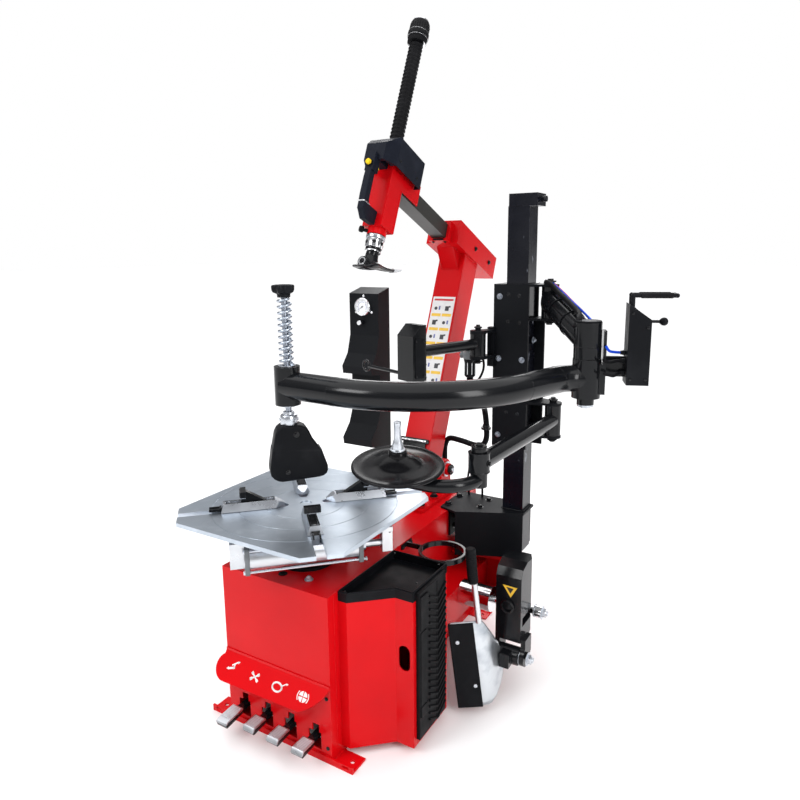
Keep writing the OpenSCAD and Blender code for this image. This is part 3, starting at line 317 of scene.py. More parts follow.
def plastic(name, colour, rough=0.45, grain=1400):
    look = Look(name, colour, rough, bevel=1.6, gloss=0.1)
    pale = tuple(min(1, c * 1.6 + 0.006) for c in colour)
    return look.cloud(14, pale, 0.5, 0.9).scuffed(25, 0.06).bumpy(grain, 0.25, 0.15).done()


def metal(name, colour, dark, rough, scale=900, stretch=(0.03, 1, 1), strength=0.16):
    """Ground or drawn metal, with fine lines along one way and cloudy stains."""
    look = Look(name, colour, rough, metal=1.0)
    look.cloud(7, dark, 0.42, 0.8).scuffed(18, 0.09)
    return look.bumpy(scale, strength, 0.12, stretch).done()


def printed(name, colour):
    """Printed film: an even colour with a faint mottle and a satin face."""
    faded = tuple(c * 0.86 for c in colour)
    look = Look(name, colour, 0.4, bevel=0)
    return look.cloud(40, faded, 0.5, 0.8).scuffed(30, 0.08).bumpy(900, 0.08).done()


def table_steel():
    """The turntable's plate: lapped steel with turning marks, swirls and fine scratches."""
    look = Look("turntable_steel", (0.55, 0.61, 0.68), 0.34, metal=1.0, bevel=1.0)
    look.cloud(2.6, (0.40, 0.45, 0.51), 0.40, 0.72).cloud(24, (0.62, 0.67, 0.73), 0.5, 0.9)
    look.scuffed(5, 0.05)
    return look.bumpy(420, 0.05, 0.10, (1, 0.03, 1)).bumpy(700, 0.04, 0.08, (0.03, 1, 1)).done()


def blade_silver():
    look = Look("blade_silver", (0.66, 0.69, 0.72), 0.34, metal=0.9, bevel=1.0)
    look.cloud(11, (0.30, 0.34, 0.39), 0.46, 0.80, (1, 1, 1.6)).scuffed(12, 0.10)
    return look.bumpy(180, 0.2, 0.2).done()


def scuffed_black():
    """Black coat with pale scuffs, for the post on which the carriage slides."""
    look = Look("scuffed_black", (0.004, 0.0045, 0.008), 0.22, coat=0.06, gloss=0.2)
    look.cloud(3, (0.008, 0.009, 0.014)).worn((0.12, 0.12, 0.14))
    marks = look.spread(look.noise(26, 9, (1, 1, 0.5)), 0.66, 0.70)
    return look.tint(marks, (0.16, 0.17, 0.20)).scuffed(8, 0.08).bumpy(420, 0.10).done()


RED = paint("red_powder_coat", (0.66, 0.003, 0.006), (0.52, 0.002, 0.005),
            (0.75, 0.06, 0.06), 0.24, 0.02, 0.14)
BLACK = paint("black_powder_coat", (0.0035, 0.004, 0.005), (0.007, 0.0075, 0.009),
              (0.10, 0.10, 0.11), 0.18, 0.08, 0.24)
ARM_GREY = paint("dark_grey_coat", (0.030, 0.028, 0.025), (0.018, 0.017, 0.015),
                 (0.2, 0.19, 0.18), 0.38)
MATTE_BLACK = paint("matte_black_coat", (0.004, 0.0045, 0.006), (0.007, 0.008, 0.010),
                    (0.09, 0.09, 0.10), 0.45, 0.0, 0.1)
DISC_BLACK = paint("disc_black", (0.004, 0.004, 0.005), (0.007, 0.007, 0.008),
                   (0.05, 0.05, 0.05), 0.22, 0.03, 0.14)
POST_BLACK = scuffed_black()
BLACK_PLASTIC = plastic("black_plastic", (0.0045, 0.005, 0.0065))
COVER_PLASTIC = plastic("cover_plastic", (0.008, 0.010, 0.017), 0.4, 1100)
RUBBER = plastic("black_rubber", (0.005, 0.005, 0.006), 0.55, 700)
YELLOW = plastic("yellow_plastic", (0.85, 0.58, 0.02), 0.35)
BLUE_HOSE = plastic("blue_hose", (0.01, 0.06, 0.55), 0.3)
RED_HOSE = plastic("red_hose", (0.6, 0.02, 0.02), 0.3)
CAST_GREY = plastic("grey_casting", (0.16, 0.17, 0.18), 0.55, 300)
STEEL = metal("ground_steel", (0.70, 0.71, 0.73), (0.48, 0.49, 0.51), 0.30)
BRASS = metal("brass", (0.78, 0.55, 0.22), (0.5, 0.33, 0.12), 0.28)
ZINC = metal("zinc_plate", (0.66, 0.69, 0.74), (0.46, 0.49, 0.53), 0.30, 500, EVEN, 0.2)
DARK_STEEL = metal("dark_steel", (0.34, 0.37, 0.42), (0.20, 0.22, 0.26), 0.32, 300, EVEN, 0.1)
SPRING = metal("spring_zinc", (0.50, 0.55, 0.62), (0.30, 0.34, 0.40), 0.3, 300, EVEN, 0.1)
CHROME = metal("chrome_steel", (0.84, 0.85, 0.87), (0.72, 0.73, 0.75), 0.12, 300, EVEN, 0.04)
ALLOY = metal("drawn_alloy", (0.62, 0.64, 0.67), (0.48, 0.50, 0.53), 0.34, 700, (1, 1, 0.05))
TABLE_STEEL = table_steel()
BLADE_SILVER = blade_silver()
WHITE_PRINT = printed("white_print", (0.80, 0.80, 0.80))
YELLOW_PRINT = printed("yellow_print", (0.88, 0.55, 0.04))
BLACK_PRINT = printed("black_print", (0.02, 0.02, 0.025))
BLUE_PRINT = printed("blue_print", (0.10, 0.13, 0.35))
RED_PRINT = printed("red_print", (0.55, 0.015, 0.02))
DIAL_WHITE = printed("dial_white", (0.86, 0.88, 0.90))
PALE_NYLON = printed("pale_nylon", (0.72, 0.74, 0.76))

NODE_LOOKS = {
    RED: "cabinet_shell pedal_apron side_box hinge_bracket column arm_box head_body",
    MATTE_BLACK: "gauge_box helper_bracket carriage",
    BLACK: "upper_link curved_arm control_lever middle_arm lower_link disc_arm breaker_arm "
           "breaker_cylinder pedal_1 pedal_2 pedal_3 pedal_4 lube_ring air_conduit",
    POST_BLACK: "post",
    ARM_GREY: "slide_arm",
    BLACK_PLASTIC: "tool_tray control_box disc press_block",
    COVER_PLASTIC: "head_cover",
    RUBBER: "bead_pad drive_belt bellows",
    YELLOW: "button_upper button_lower",
    ZINC: "jaw_1 jaw_2 jaw_3 jaw_4 press_rod press_spring pedal_shaft",
    STEEL: "clamp_rods mount_head blade_handle pressure_gauge",
    CHROME: "tilt_rod breaker_rod hex_shaft",
    ALLOY: "clamp_barrels tilt_cylinder lift_cylinder",
    CAST_GREY: "gearbox gearbox_pulley motor motor_pulley filter_regulator",
    TABLE_STEEL: "turntable",
    BLADE_SILVER: "breaker_blade",
}
for material, names in NODE_LOOKS.items():
    for name in names.split():
        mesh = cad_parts[name].data
        if not mesh.materials:
            mesh.materials.append(material)
        for i in range(len(mesh.materials)):
            mesh.materials[i] = material

# ---- Mesh building ----


def smooth_path(points, steps):
    """A Catmull-Rom curve through the points."""
    last = len(points) - 1
    path = []
    for i in range(last):
        p = [points[max(i - 1, 0)], points[i], points[i + 1], points[min(i + 2, last)]]
        for k in range(steps):
            t = k / steps
            path.append(0.5 * (2 * p[1] + (p[2] - p[0]) * t
                               + (2 * p[0] - 5 * p[1] + 4 * p[2] - p[3]) * t * t
                               + (3 * p[1] - p[0] - 3 * p[2] + p[3]) * t ** 3))
    return path + [Vector(points[-1])]


class Kit:
    """Collects shapes into one mesh, then makes them one piece that rides on a body."""

    def __init__(self):
        self.bm = bmesh.new()

    def skin(self, outlines, capped=True):
        """Faces from each ring of points to the next. A ring of one point is a tip."""
        rings = [[self.bm.verts.new(point) for point in outline] for outline in outlines]
        for low, high in zip(rings, rings[1:]):
            sides = max(len(low), len(high))
            for i in range(sides):
                j = (i + 1) % sides
                if len(low) == 1:
                    self.bm.faces.new((low[0], high[j], high[i]))
                elif len(high) == 1:
                    self.bm.faces.new((low[i], low[j], high[0]))
                else:
                    self.bm.faces.new((low[i], low[j], high[j], high[i]))
        if capped:
            self.bm.faces.new(rings[0][::-1])
            self.bm.faces.new(rings[-1])
        return self

    def prism(self, outline, place, height):
        """An outline in x and y, in mm, raised along z in the frame place."""
        return self.skin([[place @ (Vector((x, y, z)) * MM) for x, y in outline]
                          for z in (0, height)])

    def lathe(self, profile, place, sides=32):
        """A profile of (radius, height) in mm, turned about z. A zero radius closes an end."""
        return self.skin([[place @ (Vector((*polar(r, a), h)) * MM)
                           for a in (circle(sides) if r else [0])] for r, h in profile], False)

    def loft(self, sections, place, power=2.6):
        """Sections, each (y, half width, z low, z high) in mm, joined along y.

        They are ellipses at a power of 2, and nearer to boxes at a higher one.
        """
        def ease(value):
            return math.copysign(abs(value) ** (2 / power), value)
        return self.skin([[place @ (Vector((half * ease(math.cos(a)), y, (low + high) / 2
                                            + (high - low) / 2 * ease(math.sin(a)))) * MM)
                           for a in circle(20)] for y, half, low, high in sections])

    def rod(self, start, end, r, sides, chamfer=0.8):
        """A round bar between two points, with eased ends."""
        length, place = between(start, end)
        c = min(chamfer, r * 0.4, length * 0.3)
        return self.lathe([(0, 0), (r - c, 0), (r, c), (r, length - c), (r - c, length),
                           (0, length)], place, sides)

    def pipe(self, start, end, r, bore, sides=32):
        """An open sleeve between two points."""
        length, place = between(start, end)
        return self.lathe([(bore, 0), (r, 0), (r, length), (bore, length), (bore, 0)], place, sides)

    def weld(self, start, end, r):
        """A weld bead between two points, rippled along its length."""
        length, place = between(start, end)
        count = max(6, int(length / 2.2))
        bead = [(r * (1 + 0.22 * math.sin(i * 2.1)), length * i / count) for i in range(count + 1)]
        return self.lathe([(0, 0)] + bead + [(0, length)], place, 10)

    def block(self, centre, size, axis=UP, side=X):
        """A block centred on a point, with its size along side, across, and along axis."""
        place = moved(seat(centre, axis, side), 0, 0, -size[2] / 2)
        return self.prism(box_outline(size[0], size[1]), place, size[2])

    def hexagon(self, base, axis, r, height, spin=0.0):
        return self.prism([polar(r, spin + i * math.pi / 3) for i in range(6)],
                          seat(base, axis), height)

    def bolt(self, base, axis, r, washer=WASHER):
        """A hexagon head on a washer of the given thickness, seated on the face at base."""
        if washer:
            self.lathe([(0, 0), (r * 1.5, 0), (r * 1.5, washer), (0, washer)], seat(base, axis), 20)
        self.hexagon(base + axis * washer * MM, axis, r, r * 0.75, 0.3)
        top = base + axis * (washer + r * 0.75) * MM
        return self.lathe([(r * 0.8, 0), (r * 0.62, r * 0.14), (0, r * 0.14)], seat(top, axis), 16)

    def nut(self, base, axis, r):
        """A nut on a washer, with the end of its stud standing through."""
        top = base + axis * (WASHER + r * 0.75) * MM
        return self.bolt(base, axis, r).rod(top, top + axis * r * 0.45 * MM, r * 0.55, 16, 0.6)

    def tube(self, points, r, sides=12, steps=8):
        """A round tube along a smooth curve through the points."""
        path = smooth_path(points, steps)
        rings, up = [], None
        for i, point in enumerate(path):
            way = (path[min(i + 1, len(path) - 1)] - path[max(i - 1, 0)]).normalized()
            up = up or way.orthogonal().normalized()
            up = (up - way * up.dot(way)).normalized()
            over = way.cross(up)
            rings.append([point + (up * math.cos(a) + over * math.sin(a)) * r * MM
                          for a in circle(sides)])
        return self.skin(rings)

    def piece(self, name, body, material, bevel=0.0, replaces=(), angle=35):
        mesh = bpy.data.meshes.new(name)
        bmesh.ops.recalc_face_normals(self.bm, faces=self.bm.faces)
        self.bm.to_mesh(mesh)
        self.bm.free()
        mesh.materials.append(material)
        for polygon in mesh.polygons:
            polygon.use_smooth = True
        made = add_object(name, mesh)
        if bevel:
            rounder = made.modifiers.new("rounded", "BEVEL")
            rounder.width = bevel * MM
            rounder.segments = 2
            rounder.limit_method = "ANGLE"
            rounder.angle_limit = math.radians(angle)
            rounder.harden_normals = True
        else:
            mesh.set_sharp_from_angle(angle=math.radians(angle))
        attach(made, body)
        if replaces:
            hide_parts(*replaces)
        return made


def add_floor():
    mesh, metres = bpy.data.meshes.new("floor"), 120
    mesh.from_pydata([(x, y, 0) for x, y in box_outline(metres, metres)], [], [(0, 1, 2, 3)])
    look = Look("pale_floor", (0.93, 0.93, 0.93), 0.9, bevel=0, gloss=0.0)
    mesh.materials.append(look.cloud(1.2, (0.91, 0.91, 0.915)).bumpy(60, 0.05).done())
    add_object("floor", mesh)


add_floor()

# ---- Cabinet and pedals ----


def cabinet_pieces():
    top = 520
    screws = Kit()
    for z in (205, 45):
        screws.bolt(at(186, 0, z), -Y, 4)
    for x, y in ((218, 60), (372, 200), (372, 335), (214, 335)):
        screws.lathe([(0, 0), (4, 0), (3, 1.6), (0, 2)], seat(at(x, y, top - 1)), 16)
    screws.piece("cabinet_screws", "base", BLACK, 0.3)
    Kit().nut(at(88, 61, top), UP, 9).piece("cabinet_top_nut", "base", ZINC, 0.5)
    Kit().lathe([(0, 0.3), (9, 0.3), (9, 2), (13, 2), (14, 0.2)], seat(at(-2, 51, top))).piece(
        "cabinet_grommet", "base", RUBBER)
    seams = Kit()
    for x, y, width, height in ((200.4, 30, 5, 500), (200.4, 60, 2, 500),
                                *((-200.4, y, 2, 490) for y in (120, 400, 620, 860))):
        seams.block(at(x, y, 264), (0.8, width, height))
    seams.block(at(0, 985.4, 264), (300, 0.8, 400)).piece("cabinet_folds", "base", RED, 0.3)
    beads = Kit()
    for y in (0, 926):
        for side in BOTH:
            beads.weld(at(side * 201, y + 3, 7), at(side * 201, y + 56, 7), 2.2)
    beads.weld(at(201, 351, 40), at(201, 351, 480), 1.6).piece("cabinet_welds", "base", RED)
    rim = Kit()
    outline = [(203, 51), (231, 51), (333, 144), (389, 144), (389, 347), (203, 347)]
    for start, end in zip(outline, outline[1:] + outline[:1]):
        rim.rod(at(*start, 518.5), at(*end, 518.5), 3.4, 14)
    rim.piece("tray_rim", "base", BLACK_PLASTIC)
    Kit().lathe([(66, 529), (66, 545.5), (72.5, 545.5), (74, 544), (74, 529.5), (88.6, 529),
                 (89.5, 528), (89.5, 521), (66, 520.4)], seat(at(0, 166, 0)), 64).piece(
        "gearbox_flange", "base", BLACK_PLASTIC)
    ring_bolts = Kit()
    for y in (404, 456):
        ring_bolts.bolt(at(203, y, 506), X, 5)
    ring_bolts.piece("lube_ring_bolts", "base", BLACK, 0.3)


def pad_ribs():
    """The rubber bead pad: a smooth strip with two clips, beside a field of slanted ribs."""
    pad = Kit().block(at(398.1, 238, 282), (11.8, 164, 465))
    for y, z, size in ((180, 450, (8, 44, 104)), (178, 272, (4, 34, 236)), (180, 138, (9, 40, 34))):
        pad.block(at(404.5, y, z), size)
    for row in range(20):
        for side, y in ((1, 236), (-1, 289)):
            place = seat(at(406, y, 70 + row * 21), X, Vector((0, 1, -0.55 * side)))
            pad.prism(box_outline(58, 6.4), moved(place, 0, 0, -3), 6.5)
    pad.block(at(404, 262, 282), (4, 4, 452))
    pad.piece("rubber_bead_pad", "base", RUBBER, 1.2, replaces=["bead_pad"])


def apron_signs():
    """Four plain white pedal signs on the sloping apron."""
    slope = math.radians(35)
    normal = Vector((0, -math.cos(slope), math.sin(slope)))
    thick = 0.5
    kit = Kit()

    def sign(x, down):
        base = at(x, -3 - down * math.sin(slope), 240 - down * math.cos(slope))
        return seat(base + normal * 0.1 * MM, normal)

    def bar(sign, x, y, angle, length, width):
        kit.prism(box_outline(length, width), spun(moved(sign, x, y, 0), angle), thick)

    def arrow(sign, x, y, angle, size):
        kit.prism([(0, -size / 2), (size, 0), (0, size / 2)],
                  spun(moved(sign, x, y, 0), angle), thick)

    tilt, cross, tyre, wheel = sign(-150, 38), sign(-62, 42), sign(28, 44), sign(122, 42)
    for stroke in ((3, 9, 35, 26, 4), (-6, -6, 20, 24, 6), (2, 1, 80, 16, 4)):
        bar(tilt, *stroke)
    arrow(tilt, 12, 14, 35, 8)
    arrow(tilt, -17, -9, 200, 9)
    for angle in (35, 145):
        bar(cross, 0, 0, angle, 34, 4.5)
        for end in BOTH:
            bar(cross, *polar(end * 14, math.radians(angle)), angle, 8, 8)
    for a in circle(24):
        bar(tyre, 17 * math.cos(a) - 2, 12 * math.sin(a), math.degrees(a) + 84, 5.2, 5)
    bar(tyre, 21, 12, 35, 16, 3)
    arrow(tyre, 28, 15, 20, 7)
    for start in (8, 98, 188, 278):
        kit.prism([polar(1.5, math.radians(start + 37)), *arc(0, 0, 15, start, start + 74, 8)],
                  wheel, thick)
    for turn in (0, 180):
        kit.prism(arc(0, 0, 21, turn - 38, turn + 38, 8) + arc(0, 0, 18.5, turn + 38, turn - 38, 8),
                  wheel, thick)
    kit.piece("pedal_signs", "base", WHITE_PRINT)


def pedal_pad(number, reach):
    """A ribbed alloy pad on a pedal, longer by reach."""
    x, hinge_y, hinge_z = (number - 2.5) * 92 + 1, 180, 80
    pad = Kit().prism([
        (-267.5 - reach, -12), (-265 - reach, -7), (-258.5 - reach, 0.4 - reach / 4), (-209, 0.6),
        (-209, -5), (-256 - reach, -5 - reach / 4), (-263 - reach, -13)],
        seat(at(x - 20.6, hinge_y, hinge_z), X, Y), 41.2)
    for k in range(9 + reach // 6):
        y = -214 - k * 5
        pad.block(at(x, hinge_y + y, hinge_z + 0.8 + (y + 210) * reach / 4 / 64), (35, 2.6, 1.6))
    pad.piece(f"pedal_pad_{number}", f"pedal_{number}", ALLOY, 0.7)


cabinet_pieces()
pad_ribs()
apron_signs()
for number, reach in ((1, 16), (2, 0), (3, 0), (4, 0)):
    pedal_pad(number, reach)

# ---- Turntable, jaws and clamp cylinders ----

TABLE = (0, 166)


def jaw_pieces(number, turn):
    """The black grip and hook of one jaw, and the steel insert in its slot."""
    j, body = partial(turned, TABLE, turn), f"jaw_{number}"
    along = heading(j, 1, 0, 0)
    grip = Kit().block(j(185, 0, 755.5), (17, 47.5, 19), UP, along)
    for k in range(5):
        grip.block(j(194, -18 + k * 9, 755), (3, 4.5, 15), UP, along)
    for t in (-9, 9):
        grip.prism([(0, -3), (36, -2), (36, 2), (0, 3)], seat(j(249, t, 707), UP, along), 9)
    grip.block(j(252, 0, 712), (6, 24, 12), UP, along)
    grip.piece(f"jaw_grip_{number}", body, BLACK, 1.0)
    hook = Kit().prism(
        [(112, 714.4), (121.6, 729.3), (179.8, 764.4), (190.4, 764.4), (192.4, 714.4)],
        seat(j(0, 9.4, 0), along.cross(UP), along), 18.8)
    for t in (-12.2, 12.2):
        hook.block(j(166, t, 729.2), (148, 4, 0.8), UP, along)
    hook.piece(f"jaw_hook_{number}", body, BLACK, 0.3)
    insert = Kit().prism(rounded(97, -9, 233, 9, 4), seat(j(0, 0, 713.2), UP, along), 8)
    for s in (104, 226):
        insert.lathe([(0, 0), (5, 0), (5, 3), (3.4, 4), (3, 2.6), (0, 2.6)],
                     seat(j(s, 0, 720.8)), 18)
    insert.piece(f"jaw_insert_{number}", body, STEEL, 0.4)


def clamp_pieces():
    """End caps, tie rods, fittings and hose loops on the two cylinders under the table."""
    c, z = partial(turned, TABLE, 45), 622
    along = heading(c, 1, 0, 0)
    caps, rods, hoses, bolts = Kit(), Kit(), Kit(), Kit()
    for side in BOTH:
        t = side * 160
        for s in (-190, 128):
            caps.prism(rounded(-39, -39, 39, 39, 6), seat(c(s, t, z), along, UP), 13)
        for dt in (-31, 31):
            for dz in (-31, 31):
                rods.rod(c(-194, t + dt, z + dz), c(152, t + dt, z + dz), 3.6, 14)
                for s, way in ((147, 1), (-190, -1)):
                    rods.bolt(c(s, t + dt, z + dz), along * way, 6, washer=0)
        rods.pipe(c(141, t, z), c(152, t, z), 17, 11)
        rods.hexagon(c(120, t, 661), UP, 8, 7)
        hoses.tube([c(s, t + side * out, up) for s, out, up in (
            (120, 0, 663), (121, 5, 668), (126, 20, 670), (128, 38, 664), (122, 48, 650),
            (106, 50, 634), (88, 48, 630), (76, 40, 638), (74, 27, 650))], 4.2)
        rods.rod(c(74, t + side * 27, 651), c(74, t + side * 16, 646), 6, 16)
        for s in (198, 222):
            bolts.bolt(c(s, side * 176, 662), -UP, 5)
    caps.piece("clamp_end_caps", "jaw_3", CAST_GREY, 1.2)
    rods.piece("clamp_tie_rods", "jaw_3", ZINC, 0.4)
    hoses.piece("clamp_hoses", "jaw_3", RUBBER)
    bolts.piece("clamp_plate_bolts", "jaw_1", BLACK, 0.3)


for number in (1, 2, 3, 4):
    jaw_pieces(number, number * 90 - 45)
clamp_pieces()

# ---- Column, arm and head ----

COLUMN_FACE = 119.3
SHAFT = 680


def column_pieces():
    bolts, washers, beads, bars, strips, guides, pads = (Kit() for _ in range(7))
    for side in BOTH:
        def hinge(x):
            return at(side * x, HINGE_Y, HINGE_Z)
        for y in (683, 786, 897):
            bolts.bolt(at(side * 115, y, 541), UP, 11)
        bolts.hexagon(hinge(104), X * side, 21, 12, 0.2)
        washers.pipe(hinge(88.2), hinge(94), 31, 23).rod(hinge(115), hinge(122), 10, 20)
        for x, f0, u0, f1, u1, r in ((55.5, -8, 867, 117, 867, 3), (36, 120, 802, 194, 866, 2.6),
                                     (56, 117, 40, 117, 860, 1.7)):
            beads.weld(lean(side * x, f0, u0), lean(side * x, f1, u1), r)
        guides.bolt(lean(side * 26, 250, 866), -LEAN_UP, 4)
        for f in (60, -90):
            guides.bolt(lean(side * 69, f, 915), X * side, 7)
    beads.weld(lean(-54, 119.5, 867), lean(54, 119.5, 867), 3)
    beads.weld(lean(-36, 120, 801), lean(36, 120, 801), 2.4)
    for u in (50, 84):
        bars.prism(rounded(-61, -9, 61, 9, 4), seat(lean(-8, COLUMN_FACE + 0.1, u), LEAN_FWD), 16)
    bars.block(lean(-8, 124, 67), (100, 20, 8), LEAN_FWD)
    for x, u, width in ((-8, 84, 110), (-30, 50, 48), (28, 50, 28)):
        strips.block(lean(x, 136, u), (width, 5, 1.6), LEAN_FWD)
    for u in (940, 871):
        pads.block(lean(0, 262.6, u), (46, 8, 3), LEAN_FWD)
    bolts.piece("hinge_bolts", "base", BLACK, 0.8)
    washers.piece("hinge_washers", "base", ZINC, 0.5)
    beads.piece("column_welds", "column", RED)
    bars.piece("column_clamp_bars", "column", BLACK, 1.2)
    strips.piece("column_clamp_strips", "column", CHROME, 0.3)
    guides.piece("arm_box_bolts", "column", BLACK, 0.4)
    pads.piece("arm_guide_pads", "column", BLACK_PLASTIC, 0.8)
    Kit().prism(rounded(-62, -42, 62, 42, 5), seat(lean(0, -164, 916), -LEAN_FWD), 3).piece(
        "arm_box_end_plate", "column", RED, 0.8)


def label_panel():
    """A blank instruction label: cells with plain picture blocks over yellow strips."""
    low, high, rows, film = 235, 682, 7, 0.3
    panel, strips, blocks, marks, header = (Kit() for _ in range(5))

    def patch(kit, x, u, width, height, lift=film):
        kit.block(lean(x, COLUMN_FACE + lift, u), (width, height, film), LEAN_FWD)

    patch(panel, 0, (low + high) / 2, 100, high - low, 0)
    patch(header, 0, high - 13, 86, 8)
    pitch = (high - low - 26) / rows
    pictures = (((blocks, -3, 6, 17, 20), (blocks, 8, 14, 8, 7)),
                ((marks, 0, 8, 20, 6), (blocks, 6, 2, 8, 9)),
                ((marks, 10, 8, 7, 16),),
                ((marks, -8, 10, 10, 10), (blocks, 5, 4, 14, 12)))
    for row in range(rows):
        u = high - 26 - (row + 0.5) * pitch
        for column in BOTH:
            x = column * 23.5
            patch(strips, x, u - pitch * 0.36, 42, pitch * 0.2)
            kind = (row * 2 + column + 3) % 4
            for kit, dx, du, width, height in pictures[kind]:
                patch(kit, x + dx, u + du, width, height)
            if kind == 2:
                blocks.lathe([(0, 0), (7, 0), (7, film), (0, film)],
                             seat(lean(x - 6, COLUMN_FACE + film / 2, u + 6), LEAN_FWD), 20)
    for kit, name, look in ((panel, "panel", WHITE_PRINT), (strips, "strips", YELLOW_PRINT),
                            (blocks, "blocks", BLACK_PRINT), (marks, "marks", BLUE_PRINT),
                            (header, "header", RED_PRINT)):
        kit.piece(f"label_{name}", "column", look)


def bellows_sleeve():
    """The corrugated rubber sleeve round the shaft, and its cap."""
    folds, low, high = 27, 1026, 1430
    pitch = (high - low) / folds
    fold = ((0.05, 21.8), (0.2, 22.2), (0.38, 24.6), (0.5, 25.2), (0.62, 24.6), (0.8, 22.2),
            (0.95, 21.8))
    profile = [(r, (k + share) * pitch) for k in range(folds) for share, r in fold]
    foot = seat(lean(0, SHAFT, low), LEAN_UP)
    sleeve = Kit().lathe([(20.6, 0)] + profile + [(20.6, high - low)], foot, 40).piece(
        "shaft_bellows", "slide_arm", RUBBER, replaces=["bellows"], angle=60)
    tuple(LEAN_UP)
    tuple(lean(0, SHAFT, low))
    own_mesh(sleeve)
    Kit().lathe([(21.4, 0), (31, 0), (31, 4), (27.5, 7), (26.6, 16), (21.4, 16)],
                moved(foot, 0, 0, -1), 40).piece("bellows_foot_ring", "slide_arm", RUBBER)
    place = seat(lean(0, SHAFT, high), LEAN_UP)
    cap = Kit().lathe([(0, 0), (33.3, 0), (33.8, 2), (33.8, 18), (37.4, 21), (37.8, 24), (37.8, 40),
                       (35, 45), (34.4, 76), (31, 84), (24, 89), (0, 90.4)], place, 48)
    for a in circle(24):
        rib = place @ (Vector((*polar(34.4, a), 62)) * MM)
        cap.rod(rib - LEAN_UP * 10 * MM, rib + LEAN_UP * 8 * MM, 1.6, 8)
    cap.piece("shaft_top_cap", "shaft", RUBBER, angle=40)


def head_pieces():
    beads, screws = Kit(), Kit()
    for side in BOTH:
        beads.weld(lean(side * 38.5, 641, 724), lean(side * 38.5, 641, 884), 2.2)
        beads.weld(lean(side * 37, 716, 724), lean(side * 37, 716, 920), 1.4)
        beads.weld(lean(side * 34, 639, 884), lean(side * 36.6, 524, 884), 1.8)
        for f in (600, 716):
            screws.lathe([(0, 0), (5, 0), (4.4, 2), (0, 2.6)],
                         seat(lean(side * 62, f, 950), X * side), 18)
    beads.piece("head_welds", "slide_arm", RED)
    Kit().block(lean(0, 787, 771), (28, 34.6, 4), LEAN_UP).piece(
        "handle_band", "slide_arm", CHROME, 1.0)
    side = Matrix((LEAN_FWD, LEAN_UP, -X)).transposed().to_4x4()
    side.translation = lean(12.6, 0, 0)
    Kit().prism([(801.5, 748), (804, 800), (803, 860), (800.2, 890), (800.2, 924), (768, 924),
                 (774, 892), (776.5, 860), (777, 790), (771, 768), (762, 756), (742, 750),
                 (718.6, 770), (718.6, 722), (776, 719)], side, 25.2).piece(
        "guide_handle_shell", "slide_arm", COVER_PLASTIC, 3.5)
    way, base = (LEAN_FWD * 0.75 - X * 0.66).normalized(), lean(-20, 706, 708)
    Kit().rod(base, base + way * 20 * MM, 6, 18).rod(
        base + way * 14 * MM, base + way * 30 * MM, 11, 20, 3).piece(
        "head_clamp_knob", "slide_arm", RUBBER, 0.6)
    screws.piece("cover_screws", "slide_arm", BLACK, 0.3)
    for name, f, way in (("upper", 805, 1), ("lower", 763, -1)):
        Kit().lathe([(6.6, 0), (11.5, 0), (11.5, 3), (9.4, 4.5), (9.4, 0)],
                    seat(lean(0, f - way * 4.6, 905), LEAN_FWD * way), 28).piece(
            f"valve_ring_{name}", "slide_arm", BLACK_PLASTIC)
        Kit().lathe([(0, 0), (9.2, 0), (9.4, 4), (8.6, 7.4), (6, 9), (0, 9.4)],
                    seat(lean(0, f, 905), LEAN_FWD * way), 28).piece(
            f"valve_cap_{name}", f"button_{name}", YELLOW)


def mount_head_pieces():
    """The duck-shaped head at the foot of the shaft, with its collar, screws and tongue."""
    place = seat(lean(0, SHAFT, 0), LEAN_UP)
    boss = spun(moved(place, 0, -40, 592), 90, "X")
    duck = Kit().loft([
        (-72, 9, 566, 570), (-66, 22, 565, 573), (-52, 31, 566, 579), (-34, 34, 568, 592),
        (-14, 34, 573, 606), (8, 31, 581, 613), (28, 25, 590, 616), (50, 19, 598, 618),
        (80, 15, 606, 622), (112, 13, 615, 629), (138, 12, 624, 637), (144, 9, 628, 637)], place)
    duck.lathe([(0, 590), (27, 592), (26, 606), (22.5, 620), (21.5, 640), (26.5, 646), (27, 654),
                (0, 655)], place, 40)
    duck.lathe([(0, -12), (19, -12), (19, 6), (17, 9), (0, 9)], boss, 36)
    duck.piece("duck_head", "shaft", BLACK, replaces=["mount_head"], angle=50)
    collar = Kit().lathe([(20, 655), (29, 655), (30, 657), (30, 684), (28.4, 685.5), (20, 685.5)],
                         place, 48)
    collar.lathe([(20, 640), (27.4, 641), (28, 643), (27.4, 645), (20, 646)], place, 48)
    collar.lathe([(9.5, 8.5), (13.5, 8.5), (13.5, 11), (9.5, 11), (9.5, 8.5)], boss, 30)
    collar.piece("head_collar", "shaft", CHROME)
    Kit().lathe([(20, 686), (32, 686), (32.8, 687.5), (32.8, 697), (31.6, 698.6), (20, 698.6)],
                place, 48).piece("head_stop_ring", "shaft", ZINC)
    sockets = Kit()
    for k in range(6):
        out = Vector((*polar(1, math.radians(-120 + k * 60)), 0))
        spot = place @ ((out * 29 + UP * 671) * MM)
        sockets.rod(spot, spot + place.to_3x3() @ out * 3 * MM, 6.4, 18)
    sockets.rod(boss @ (UP * 8 * MM), boss @ (UP * 12 * MM), 6, 18)
    sockets.piece("head_set_screws", "shaft", BLACK, 0.5)
    Kit().loft([(136, 13.5, 621, 638.5), (148, 17, 626, 642), (162, 20, 634, 646),
                (171, 21, 640, 648), (173, 19, 642, 647)], place, power=4).piece(
        "head_tongue", "shaft", PALE_NYLON)


column_pieces()
label_panel()
bellows_sleeve()
head_pieces()
mount_head_pieces()

# ---- Breaker ----

BLADE_TILT = math.radians(8)
